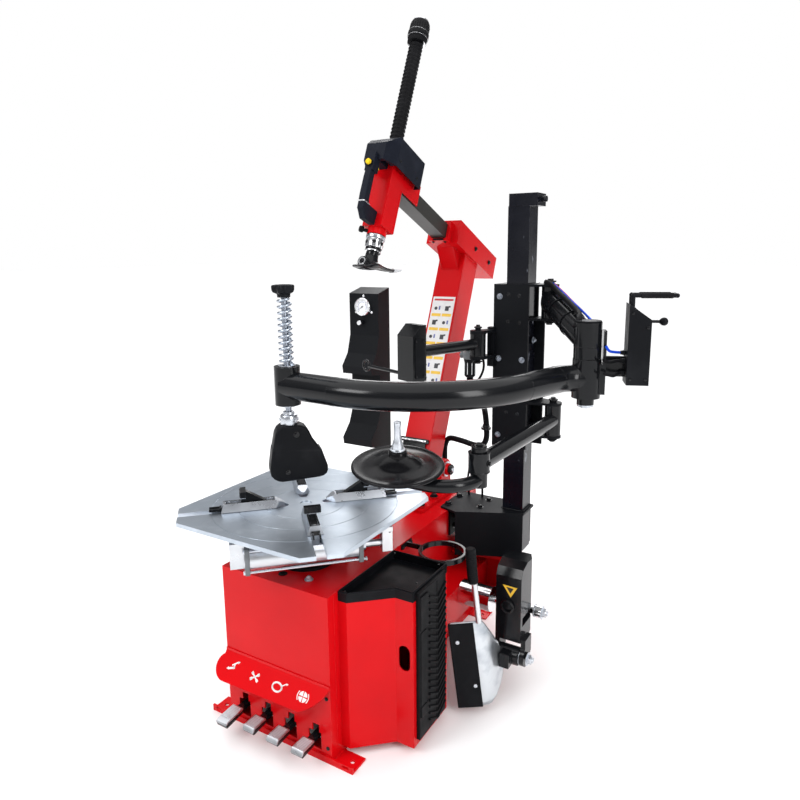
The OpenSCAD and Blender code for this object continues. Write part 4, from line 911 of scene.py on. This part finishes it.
# The y and z of two axes that run along x.
BLADE_PIVOT, BREAKER_ROD = (545, 150), (655, 262)


def on_blade(x, y, z):
    """A point on the breaker blade, which leans over by the blade's tilt."""
    c, s = math.cos(BLADE_TILT), math.sin(BLADE_TILT)
    dx, dz = x - 500, z - 150
    return at(500 + dx * c - dz * s, y, 150 + dx * s + dz * c)


def blade_sheet():
    """The bent silver blade: a sheet that turns a corner, cut to a curve at its back edge."""
    path = [(412, 373), (440, 386.6), (465, 398.8), (482, 407), (492, 414), (498, 424),
            (502, 440), (504.4, 458), (505, 480), (504.4, 505), (503, 530), (502, 550)]
    back = ((40, 431), (50, 462), (62, 492), (84, 524), (104, 538), (124, 543), (160, 538),
            (203, 511), (250, 476), (300, 440), (314, 430), (320, 421))
    sheet, rows, across = Kit(), [], 24
    for z, limit in back:
        kept = [q for q in path if q[1] < limit - 0.5]
        (x0, y0), (x1, y1) = kept[-1], path[len(kept)]
        kept.append((x0 + (x1 - x0) * (limit - y0) / (y1 - y0), limit))
        steps = [0.0]
        for start, end in zip(kept, kept[1:]):
            steps.append(steps[-1] + math.dist(start, end))
        row = []
        for k in range(across + 1):
            want = steps[-1] * k / across
            i = max(j for j in range(len(kept) - 1) if steps[j] <= want + 1e-9)
            t = (want - steps[i]) / (steps[i + 1] - steps[i])
            x, y = (a + (b - a) * t for a, b in zip(kept[i], kept[i + 1]))
            row.append(sheet.bm.verts.new(on_blade(x, y, z)))
        rows.append(row)
    for low, high in zip(rows, rows[1:]):
        for k in range(across):
            sheet.bm.faces.new((low[k], low[k + 1], high[k + 1], high[k]))
    made = sheet.piece("blade_sheet", "breaker_blade", BLADE_SILVER, replaces=["breaker_blade"])
    solid = made.modifiers.new("thick", "SOLIDIFY")
    solid.thickness = 7 * MM
    solid.offset = 1 if made.data.polygons[0].normal.x < 0 else -1


def blade_pieces():
    guard = Kit().skin([[on_blade(x, y, z) for x, y in (
        (404, 379), (408.4, 366.4), (481, 400.4), (475, 413))] for z in (37, 318)])
    guard.piece("blade_edge_guard", "breaker_blade", BLACK_PLASTIC, 2.0)
    screws = Kit()
    for x, y, z in ((430, 377.5, 258), (466, 394.5, 110)):
        screws.lathe([(0, 0), (7, 0), (6, 3), (2, 3.6), (0, 2.6)],
                     seat(on_blade(x, y, z), (0.42, -0.9, 0)), 20)
    screws.piece("blade_guard_screws", "breaker_blade", ZINC)
    neck = Kit().block(at(524, 520, 150), (34, 50, 50))
    neck.pipe(at(492, *BLADE_PIVOT), at(560.4, *BLADE_PIVOT), 30, 12.8, 48)
    neck.piece("blade_neck", "breaker_blade", BLACK, 2.5)
    blade_sheet()
    start, end = at(458, 398, 452), at(449.9, 392.9, 563)
    length, folds = (end - start).length / MM, 14
    profile = [(0, -1), (12, -1), (15.4, 1)]
    for fold in range(folds):
        h = 4 + fold * (length - 14) / folds
        profile += [(15.4, h), (16.6, h + 1.6), (16.6, h + 4.4), (15.4, h + 6)]
    profile += [(16, length - 6), (15.6, length), (12, length + 3), (0, length + 4)]
    Kit().lathe(profile, seat(start, end - start), 28).piece(
        "handle_grip", "breaker_blade", RUBBER)


def breaker_pieces():
    boss = Kit().nut(at(588, *BLADE_PIVOT), X, 15).bolt(at(466, *BLADE_PIVOT), -X, 12)
    for x in (477, 566):
        boss.pipe(at(x - 3, *BLADE_PIVOT), at(x - 1.4, *BLADE_PIVOT), 25, 19)
    boss.piece("blade_pivot_nuts", "breaker_arm", ZINC, 0.7)
    ring = Kit().lathe([(17, 0), (24, 0), (24, 6), (20, 8), (17, 8), (17, 0)],
                       seat(at(515, 545.4, 318), -Y), 36)
    for a in circle(6):
        across, up = polar(20, a)
        spot = at(515 + across, 537, 318 + up)
        ring.rod(spot, spot - Y * 2 * MM, 2.4, 10)
    ring.piece("breaker_guide_ring", "breaker_arm", BLACK, 0.6)
    place, film = seat(at(523, 544.9, 376), -Y, X), 0.5
    Kit().prism([(-26, 14), (24, 12), (2, -26)], place, film).piece(
        "breaker_caution_label", "breaker_arm", YELLOW_PRINT)
    Kit().prism([(-13, 8), (12, 7), (1, -12)], moved(place, 0, 0, film), 0.4).piece(
        "breaker_caution_mark", "breaker_arm", BLACK_PRINT)
    nut = Kit().nut(at(596, *BREAKER_ROD), X, 15)
    nut.pipe(at(569, *BREAKER_ROD), at(573.6, *BREAKER_ROD), 21, 12.8)
    nut.piece("breaker_rod_nut", "breaker_rod", ZINC, 0.8)


# ---- Gauge box and air supply ----


def gauge_pieces():
    x, y, z = -238, 858, 1244
    place, face = seat(at(x, y, z), -Y, X), 12
    Kit().lathe([(0, 0), (36, 0), (36.5, 3), (36.5, 12), (35, 15), (33, 16.2), (31.6, 15),
                 (31.4, 11.2), (0, 11.2)], place, 64).piece(
        "gauge_bezel", "base", CHROME, replaces=["pressure_gauge"])
    Kit().lathe([(0, 11.3), (31.3, 11.3), (31.3, face), (0, face)], place, 48).piece(
        "gauge_dial", "base", DIAL_WHITE)
    marks, arcs, small = Kit(), Kit(), Kit()
    for k in range(31):
        inner, half = (24.5, 0.35) if k % 5 else (22, 0.7)
        marks.prism([(inner, -half), (28, -half), (28, half), (inner, half)],
                    moved(spun(place, 225 - k * 9), 0, 0, face), 0.25)
    marks.prism([(-7, -1.2), (22, -0.4), (22, 0.4), (-7, 1.2)],
                moved(spun(place, 214), 0, 0, 12.6), 0.5)
    marks.lathe([(0, 12.2), (3, 12.2), (3, 14), (0, 14.4)], place, 18)
    marks.piece("gauge_marks", "base", BLACK_PRINT)
    for start, end in ((225, 60), (40, -30)):
        arcs.prism(arc(0, 0, 20.4, start, end, 20) + arc(0, 0, 19, end, start, 20),
                   moved(place, 0, 0, face), 0.25)
    arcs.piece("gauge_arcs", "base", BLUE_PRINT)
    for angle in (90, 210, 330):
        across, up = polar(43, math.radians(angle))
        small.bolt(at(x + across, y, z + up), -Y, 3.4)
    small.lathe([(0, 0), (9.5, 0), (10.5, 2), (10.5, 9), (9, 11.5), (0, 12)],
                seat(at(-244, 840, 1182), -Y), 28)
    small.bolt(at(-278, 862, 743), -Y, 5).piece("gauge_fittings", "base", CHROME, 0.4)
    Kit().rod(at(-271, 862, 1066), at(-270, 862, 1044), 7, 20).hexagon(
        at(-271, 862, 1060), -UP, 9, 8).piece("gauge_hose_fitting", "base", BRASS, 0.4)
    Kit().tube([at(-270, 862, 1048), at(-272, 856, 1034), at(-282, 842, 1018),
                at(-295, 826, 1004), at(-300, 812, 990)], 5, 12).piece(
        "gauge_hose", "base", RUBBER)


def air_pieces():
    pipe = Kit().tube([at(*p) for p in (
        (36, 985, 470), (36, 1008, 470), (36, 1024, 486), (36, 1030, 520), (36, 1030, 610),
        (38, 1030, 668), (58, 1030, 700), (110, 1030, 698), (170, 1030, 688), (206, 1030, 694),
        (222, 1030, 724), (221, 1030, 780), (214, 1030, 832), (220, 996, 868), (236, 900, 944),
        (250, 820, 988), (254, 800, 1010))], 11.5, 20)
    pipe.piece("conduit_tube", "base", BLACK_PLASTIC, replaces=["air_conduit"])
    clips = Kit()
    for start, way in ((at(36, 985.4, 470), Y), (at(36, 1030, 540), UP), (at(220, 1030, 760), UP)):
        clips.lathe([(11.2, 0), (20, 0), (20, 8), (14.5, 10), (14, 18), (11.2, 18)],
                    seat(start, way), 30)
    clips.piece("conduit_clips", "base", BLACK)
    x, y = 254, 800
    place = seat(at(x, y, 0))
    Kit().lathe([(0, 1009), (5, 1009), (6, 1012), (14, 1013), (19, 1018), (20.4, 1026),
                 (20.4, 1070), (22, 1073), (22, 1079), (0, 1079)], place, 36).piece(
        "filter_bowl", "base", BLACK_PLASTIC)
    ribs = Kit()
    for a in circle(8):
        dx, dy = polar(20.6, a)
        ribs.rod(at(x + dx, y + dy, 1024), at(x + dx, y + dy, 1068), 1.3, 10)
    ribs.piece("filter_ribs", "base", CHROME)
    head = Kit().lathe([(0, 1079), (23, 1079.4), (24.4, 1082), (24.4, 1100), (22, 1104),
                        (14, 1105), (13, 1109), (16.5, 1111), (17.4, 1114), (17, 1124),
                        (14, 1127), (0, 1128)], place, 36)
    for side in BOTH:
        head.rod(at(x + side * 20, y, 1091), at(x + side * 37, y, 1091), 9.6, 20)
        head.hexagon(at(x + side * 28, y, 1091), X * side, 12, 7)
    head.piece("filter_head", "base", CAST_GREY, replaces=["filter_regulator"])
    lines = Kit()
    for r, points in (
            (4.2, ((290, 800, 1091), (298, 804, 1087), (300, 816, 1068), (292, 832, 1038),
                   (276, 842, 1008), (262, 832, 984))),
            (4.4, ((210, 900, 523), (209, 899, 548), (222, 902, 578), (246, 905, 586),
                   (262, 903, 566), (264, 901, 523))),
            (4.4, ((153, 985, 500), (153, 1000, 516), (154, 1008, 560), (160, 1012, 620),
                   (172, 1018, 664), (186, 1022, 680)))):
        lines.tube([at(*p) for p in points], r)
    lines.piece("air_hoses", "base", RUBBER)


# ---- Helper post, carriage, links and control box ----

LINK_PIN, LOWER_PIN, MIDDLE_PIN = (518, 870), (541, 870), (302, 760)
ELBOW, KNUCKLE = (725, 600), (525, 281)


def carriage_pieces():
    front, left = 822, 333
    nuts, painted_hole_shade, pads, pins, beads = (Kit() for _ in range(5))
    for x, z in ((355, 1302), (354, 1085), (356, 808), (440, 1085)):
        nuts.nut(at(x, front, z), -Y, 7)
    for z in (1302, 1085, 808):
        nuts.nut(at(355, 926, z), Y, 7)
    nuts.nut(at(460, 874, 1150), X, 8).piece("carriage_nuts", "carriage", DARK_STEEL, 0.4)
    spots = [(at(x, front, z), -Y) for x, z in (
        (387, 1310), (426, 1306), (386, 1216), (428, 1214), (387, 894), (428, 892))]
    # Black recessed discs at the carriage's holes: painted shade standing in for the dark inside of
    # each hole, not real screws.
    for spot, way in spots + [(at(left, 874, z), -X) for z in (1216, 1310, 893)]:
        painted_hole_shade.lathe([(0, 0.3), (5, 0.3), (5, 0.9), (6.6, 0.9), (7.2, 0)], seat(spot, way), 20)
    painted_hole_shade.piece("carriage_painted_hole_shade", "carriage", BLACK)
    for z in (1336, 770):
        for y in (828, 920):
            pads.block(at(413, y, z), (72, 9, 10))
    pads.piece("carriage_guide_pads", "carriage", BLACK_PLASTIC, 0.6)
    for pin, z, r in ((LINK_PIN, 1352, 20), (LOWER_PIN, 944, 16), (MIDDLE_PIN, 1196, 14)):
        pins.lathe([(0, 0), (r - 1, 0), (r, 1), (r, 4), (r - 2, 5.4), (0, 5.4)],
                   seat(at(*pin, z)), 30)
        pins.hexagon(at(*pin, z + 5.4), UP, r * 0.55, 6)
    for pin, z in ((LINK_PIN, 1215), (LOWER_PIN, 804), (MIDDLE_PIN, 1080)):
        pins.pipe(at(*pin, z), at(*pin, z - 2.2), 17, 8).hexagon(at(*pin, z), -UP, 11, 8)
    pins.piece("carriage_pins", "carriage", BLACK, 0.6)
    for z in (1222, 1345, 811, 937):
        beads.weld(at(462, 826, z), at(462, 922, z), 2)
    beads.piece("carriage_welds", "carriage", BLACK)


def post_pieces():
    Kit().prism(rounded(376.6, 835.6, 450.4, 912.4, 4), seat(at(0, 0, 1605)), 3).piece(
        "post_cap", "base", BLACK_PLASTIC, 0.8)
    bolts, beads = Kit(), Kit()
    for x, y, z, r in ((184, 771, 529, 10), (184, 866, 529, 10), (300, 800, 528, 9),
                       (300, 880, 528, 9)):
        bolts.bolt(at(x, y, z), UP, r)
    for z in (450, 490):
        for y in (770, 880):
            bolts.bolt(at(208, y, z), X, 8)
    bolts.piece("helper_bolts", "base", BLACK, 0.6)
    for x0, y0, x1, y1, z, r in ((373, 834, 373, 914, 529, 3), (375, 832, 452, 832, 529, 3),
                                 (454, 834, 454, 914, 529, 3), (240, 718, 455, 817, 522, 2)):
        beads.weld(at(x0, y0, z), at(x1, y1, z), r)
    beads.piece("helper_welds", "base", BLACK)


def link_pieces():
    beads = Kit()
    for pin, z, r in ((LINK_PIN, 1291, 29), (ELBOW, 1180, 41)):
        beads.lathe([(r - 2, -2), (r + 0.6, 0), (r - 2, 2)], seat(at(*pin, z)), 40)
    beads.piece("link_rings", "upper_link", BLACK)
    Kit().lathe([(0, 1251), (37, 1251), (38.6, 1252.4), (38.6, 1254), (36, 1256.4), (0, 1257)],
                seat(at(*ELBOW, 0)), 48).piece("elbow_cap", "upper_link", BLACK_PLASTIC)
    Kit().pipe(at(*ELBOW, 1006), at(*ELBOW, 1000), 24, 8).hexagon(
        at(*ELBOW, 1006), -UP, 15, 11).piece("elbow_nut", "upper_link", ZINC, 0.5)
    start, end = at(*LINK_PIN, 1291), at(*ELBOW, 1198)
    aside = Vector((0.79, 0.61, 0))
    for name, look, r, sides, route in (
            ("sheath", RUBBER, 8.5, 14, (
                (0.02, -20, 64), (0.1, -8, 62), (0.26, -4, 57), (0.5, -2, 56), (0.72, -3, 56),
                (0.86, -10, 58), (0.97, -26, 56), (1.0, -40, 38))),
            ("blue", BLUE_HOSE, 3.6, 12, (
                (0.04, 2, 62), (0.2, 12, 55), (0.45, 16, 51), (0.68, 17, 51), (0.9, 24, 44))),
            ("red", RED_HOSE, 3.6, 12, (
                (0.03, 10, 58), (0.2, 20, 50), (0.48, 23, 46), (0.7, 24, 45), (0.92, 32, 34)))):
        # Each point is a share of the way along the link's tube, then beside it and above it.
        Kit().tube([start + (end - start) * share + (aside * beside + UP * lift) * MM
                    for share, beside, lift in route], r, sides).piece(
            f"link_hose_{name}", "upper_link", look)
    ties = Kit()
    for share in (0.3, 0.62):
        centre = start + (end - start) * share
        ties.pipe(centre, centre + (end - start).normalized() * 5 * MM, 42.4, 40.2, 48)
    ties.piece("link_hose_ties", "upper_link", BLACK_PLASTIC)


def control_pieces():
    def c(x, y, z):
        """A point in the frame of the control box, which is turned about the elbow."""
        return turned(ELBOW, 20, x + 108, y, z)

    way, left = heading(c, 1, 0, 0), heading(c, 0, 1, 0)
    screws, glands, black, grips = Kit(), Kit(), Kit(), Kit()
    for y, side in ((-38, -1), (38, 1)):
        for x, z in ((10, 1090), (52, 1090), (52, 1240), (10, 1280)):
            screws.lathe([(0, 0), (5, 0), (4, 2.4), (0, 3)], seat(c(x, y, z), left * side), 18)
    screws.piece("control_screws", "curved_arm", BLACK)
    for z in (1104, 1140, 1164):
        glands.rod(c(-16, -8, z), c(1, -8, z), 6, 18).hexagon(c(-10, -8, z), way, 8, 7)
    glands.piece("control_glands", "curved_arm", BLACK_PLASTIC, 0.3)
    Kit().tube([c(-14, -8, 1164), c(-26, -10, 1165), c(-42, -22, 1168), c(-52, -34, 1174),
                c(-60, -40, 1186)], 4).piece("control_hose_blue", "curved_arm", BLUE_HOSE)
    black.tube([c(-14, -8, 1140), c(-26, -12, 1140), c(-44, -26, 1138), c(-56, -40, 1140),
                c(-66, -46, 1150)], 5)
    black.tube([c(-14, -8, 1104), c(-24, -20, 1102), c(-36, -40, 1100), c(-50, -50, 1104),
                c(-66, -50, 1110)], 4)
    black.piece("control_hoses_black", "curved_arm", RUBBER)
    Kit().lathe([(0, -8), (5, -8), (7, -6), (11, -1), (12.2, 5), (11, 11), (7, 15), (0, 16.6)],
                seat(c(104, 44.5, 1250), way)).piece(
        "control_lever_knob", "control_lever", BLACK_PLASTIC)
    for y in (-22, 16):
        grips.rod(c(30, y, 1330), c(118, y, 1330), 8, 20, 2)
        grips.lathe([(5.8, 0), (9.4, 0), (9.4, 3), (7.4, 5), (5.8, 5)], seat(c(10, y, 1291)), 24)
    grips.piece("control_rail_grips", "curved_arm", RUBBER)


# ---- Press, middle arm and disc ----

PRESS = (6, 98)


def press_pieces():
    place = seat(at(*PRESS, 0))
    rings = []
    for z, size in ((1336, 0.62), (1345, 0.64), (1350, 0.9), (1356, 0.98), (1366, 1.0),
                    (1370, 0.93), (1371.5, 0.7), (1370.5, 0.3)):
        lobe = 5 * min(1, max(0, size - 0.6) * 4)
        rings.append([place @ (Vector((*polar(size * (29.5 + lobe * math.cos(5 * a)), a), z)) * MM)
                      for a in circle(60)])
    Kit().skin(rings).piece("press_knob", "press", BLACK_PLASTIC)
    thread = [p for k in range(90) for p in ((9.0, 976 + k * 4), (8.5, 978 + k * 4))]
    Kit().lathe([(0, 972), (9, 972)] + thread + [(9, 1337), (0, 1337)], place, 28).piece(
        "press_screw", "press", DARK_STEEL, replaces=["press_rod"])
    turns, low, high, around = 11, 1144.9, 1332.2, 28
    coil = [place @ (Vector((*polar(17.4, 2 * math.pi * t / around),
                             low + (high - low) * t / (around * turns))) * MM)
            for t in range(around * turns + 1)]
    spring = Kit().tube(coil, 4.0, 12, 1).piece(
        "press_spring_coil", "curved_arm", SPRING, replaces=["press_spring"])
    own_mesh(spring)
    Kit().lathe([(9.6, 1141.1), (24, 1141.1), (25, 1142), (25, 1143.4), (9.6, 1143.6)],
                place, 40).lathe(
        [(9.6, 1024), (23, 1024), (24, 1026), (24, 1028.8), (9.6, 1028.8)], place, 40).piece(
        "press_sleeve_washers", "curved_arm", ZINC)
    foot = Kit().lathe([(0, 970.4), (24, 970.4), (25, 972), (25, 996), (23, 999), (17, 1000.4),
                        (16, 1008), (9.2, 1009), (9.2, 1006)], place, 40)
    for angle in (-140, 40):
        way = Vector((*polar(1, math.radians(angle)), 0))
        foot.rod(at(*PRESS, 985) + way * 24 * MM, at(*PRESS, 985) + way * 28 * MM, 4, 14)
    foot.piece("press_foot_collar", "press", ZINC, 0.4)


def press_shoe():
    """The plastic press block: a flared outline with eased edges, and a wider lower half."""
    left, right = 61.4, 104.6
    face = partial(turned, PRESS, 47.5)
    shoe = Kit()

    def body(outline, levels):
        """Skins the outline across y, drawn in towards its middle by an inset at each level."""
        dense = []
        for (x0, z0), (x1, z1) in zip(outline, outline[1:] + outline[:1]):
            steps = max(1, round(math.hypot(x1 - x0, z1 - z0) / 12))
            dense += [(x0 + (x1 - x0) * k / steps, z0 + (z1 - z0) * k / steps)
                      for k in range(steps)]
        mid_x, mid_z = (sum(values) / len(dense) for values in zip(*dense))
        rings = []
        for inset, y in levels:
            ring = []
            for x, z in dense:
                share = inset / math.hypot(mid_x - x, mid_z - z)
                ring.append(face(x + (mid_x - x) * share, y, z + (mid_z - z) * share))
            rings.append(ring)
        shoe.skin(rings)

    def eased(*steps):
        """The levels of a body that is eased alike on its back and its front."""
        return [(inset, -y) for inset, y in steps] + [(inset, y) for inset, y in steps[::-1]]

    body([(-left + 26, 808), (right - 16, 812), (right - 2, 828), (86, 893), (65, 924), (54, 950),
          (45, 963), (30, 970.6), (-24, 970.6), (-36, 962), (-43, 949), (-52, 906),
          (-left + 2, 846), (-left + 2, 830)], eased((9, 29.6), (3.6, 28.6), (1, 26), (0, 22)))
    body([(-left + 34, 805), (-left + 22, 808), (-left + 10, 815), (-left + 2, 825), (-left, 836),
          (-left, 849), (-53, 905), (88, 893.5), (right + 0.4, 842), (right + 0.4, 830),
          (right - 3, 820), (right - 12, 813), (right - 24, 810)],
         eased((9, 30.6), (2.6, 30), (0, 27), (-0.6, 22)))
    shoe.piece("press_shoe", "press", BLACK_PLASTIC, replaces=["press_block"], angle=55)
    normal = heading(face, 0, -1, 0)
    Kit().bolt(face(16, -29.4, 944), normal, 6).bolt(face(-12, -30.6, 834), normal, 5).piece(
        "press_shoe_bolts", "press", BLACK, 0.3)


def middle_arm_pieces():
    m = partial(turned, MIDDLE_PIN, -111.4)
    along, side = heading(m, 1, 0, 0), heading(m, 0, 1, 0)
    plates, screws, rings = Kit(), Kit(), Kit()
    for way in BOTH:
        plates.prism(rounded(-64, -19, 64, 19, 6),
                     seat(m(294, way * 40, 1124), side * way, UP), 2.4)
        for x, z in ((279, 1068), (309, 1068), (279, 1180), (309, 1180)):
            screws.bolt(m(x, way * 42.4, z), side * way, 4, washer=0)
    screws.bolt(m(294, 0, 1213), (UP + along * 0.6).normalized(), 7)
    for x in (28, 262):
        rings.pipe(m(x, 0, 1140), m(x + 4, 0, 1140), 20.4, 19.1)
    for z in (1099, 1175):
        rings.pipe(m(0, 0, z), m(0, 0, z + 2), 28.2, 27.1)
    plates.piece("middle_block_plates", "middle_arm", BLACK_PLASTIC, 0.8)
    screws.piece("middle_block_screws", "middle_arm", BLACK, 0.3)
    rings.piece("middle_arm_rings", "middle_arm", BLACK)


def disc_pieces():
    place = spun(spun(seat(at(329, 171, 873)), -58.5), 8, "Y")
    Kit().lathe([
        (9.2, 8), (28, 19), (60, 11), (70, 6.4), (118, 2), (124, -2.6), (128.6, -2.2),
        (130.4, 0.6), (130.2, 3.6), (127, 6.4), (122, 6), (117, 4.6), (96, 6.4), (74, 9.6),
        (66, 12.2), (60, 16), (44, 26.4), (34, 31), (26.6, 34), (25, 46), (23, 47.8), (9.2, 48),
        (9.2, 8)], place, 96).piece("disc_plate", "disc", DISC_BLACK, replaces=["disc"], angle=50)
    Kit().lathe([(9.2, 48.2), (19, 48.2), (19, 49.8), (9.2, 49.8)], place, 36).piece(
        "disc_washer", "disc", ZINC)
    Kit().lathe([
        (9.1, 49.8), (21, 49.8), (21.6, 51), (21, 53), (17, 54.5), (15.6, 60), (15.4, 66),
        (12.6, 76), (10.2, 84), (9.6, 96), (9.6, 118), (10.6, 122), (10.8, 132), (9.4, 133.6),
        (6, 133.6), (6, 132.4), (0, 132.4)], place, 36).piece(
        "disc_spindle_nut", "disc_arm", ZINC, 0.5)
    pin = seat(at(*KNUCKLE, 0))
    Kit().lathe([(0, 926), (21, 926), (22, 927), (22, 930), (20, 932), (0, 932)], pin, 36).hexagon(
        at(*KNUCKLE, 932), UP, 11, 7).piece("knuckle_cap", "disc_arm", BLACK, 0.6)
    rings = Kit()
    for z in (857, 911):
        rings.lathe([(28, z), (31, z), (31, z + 3), (28, z + 3), (28, z)], pin, 40)
    rings.bolt(at(555, 279, 885), X, 6).piece("knuckle_rings", "lower_link", BLACK, 0.4)


blade_pieces()
breaker_pieces()
gauge_pieces()
air_pieces()
carriage_pieces()
post_pieces()
link_pieces()
control_pieces()
press_pieces()
press_shoe()
middle_arm_pieces()
disc_pieces()

# ---- Finishes ----

SLOTS = {
    "machine_red": (RED, RED_PRINT, RED_HOSE),
    "frame_black": (BLACK, MATTE_BLACK, ARM_GREY, POST_BLACK),
    "black_plastic": (BLACK_PLASTIC, COVER_PLASTIC, BLACK_PRINT, DISC_BLACK),
    "black_rubber": (RUBBER, BLUE_HOSE),
    "steel_plate": (STEEL, DARK_STEEL, TABLE_STEEL, BLADE_SILVER),
    "zinc": (ZINC, SPRING, BRASS),
    "chrome": (CHROME,),
    "barrel_alloy": (ALLOY,),
    "motor_grey": (CAST_GREY,),
    "yellow_cap": (YELLOW, YELLOW_PRINT),
    "gauge_face": (DIAL_WHITE, WHITE_PRINT, BLUE_PRINT),
}
SLOT_OF = {material.name: slot for slot, materials in SLOTS.items() for material in materials}
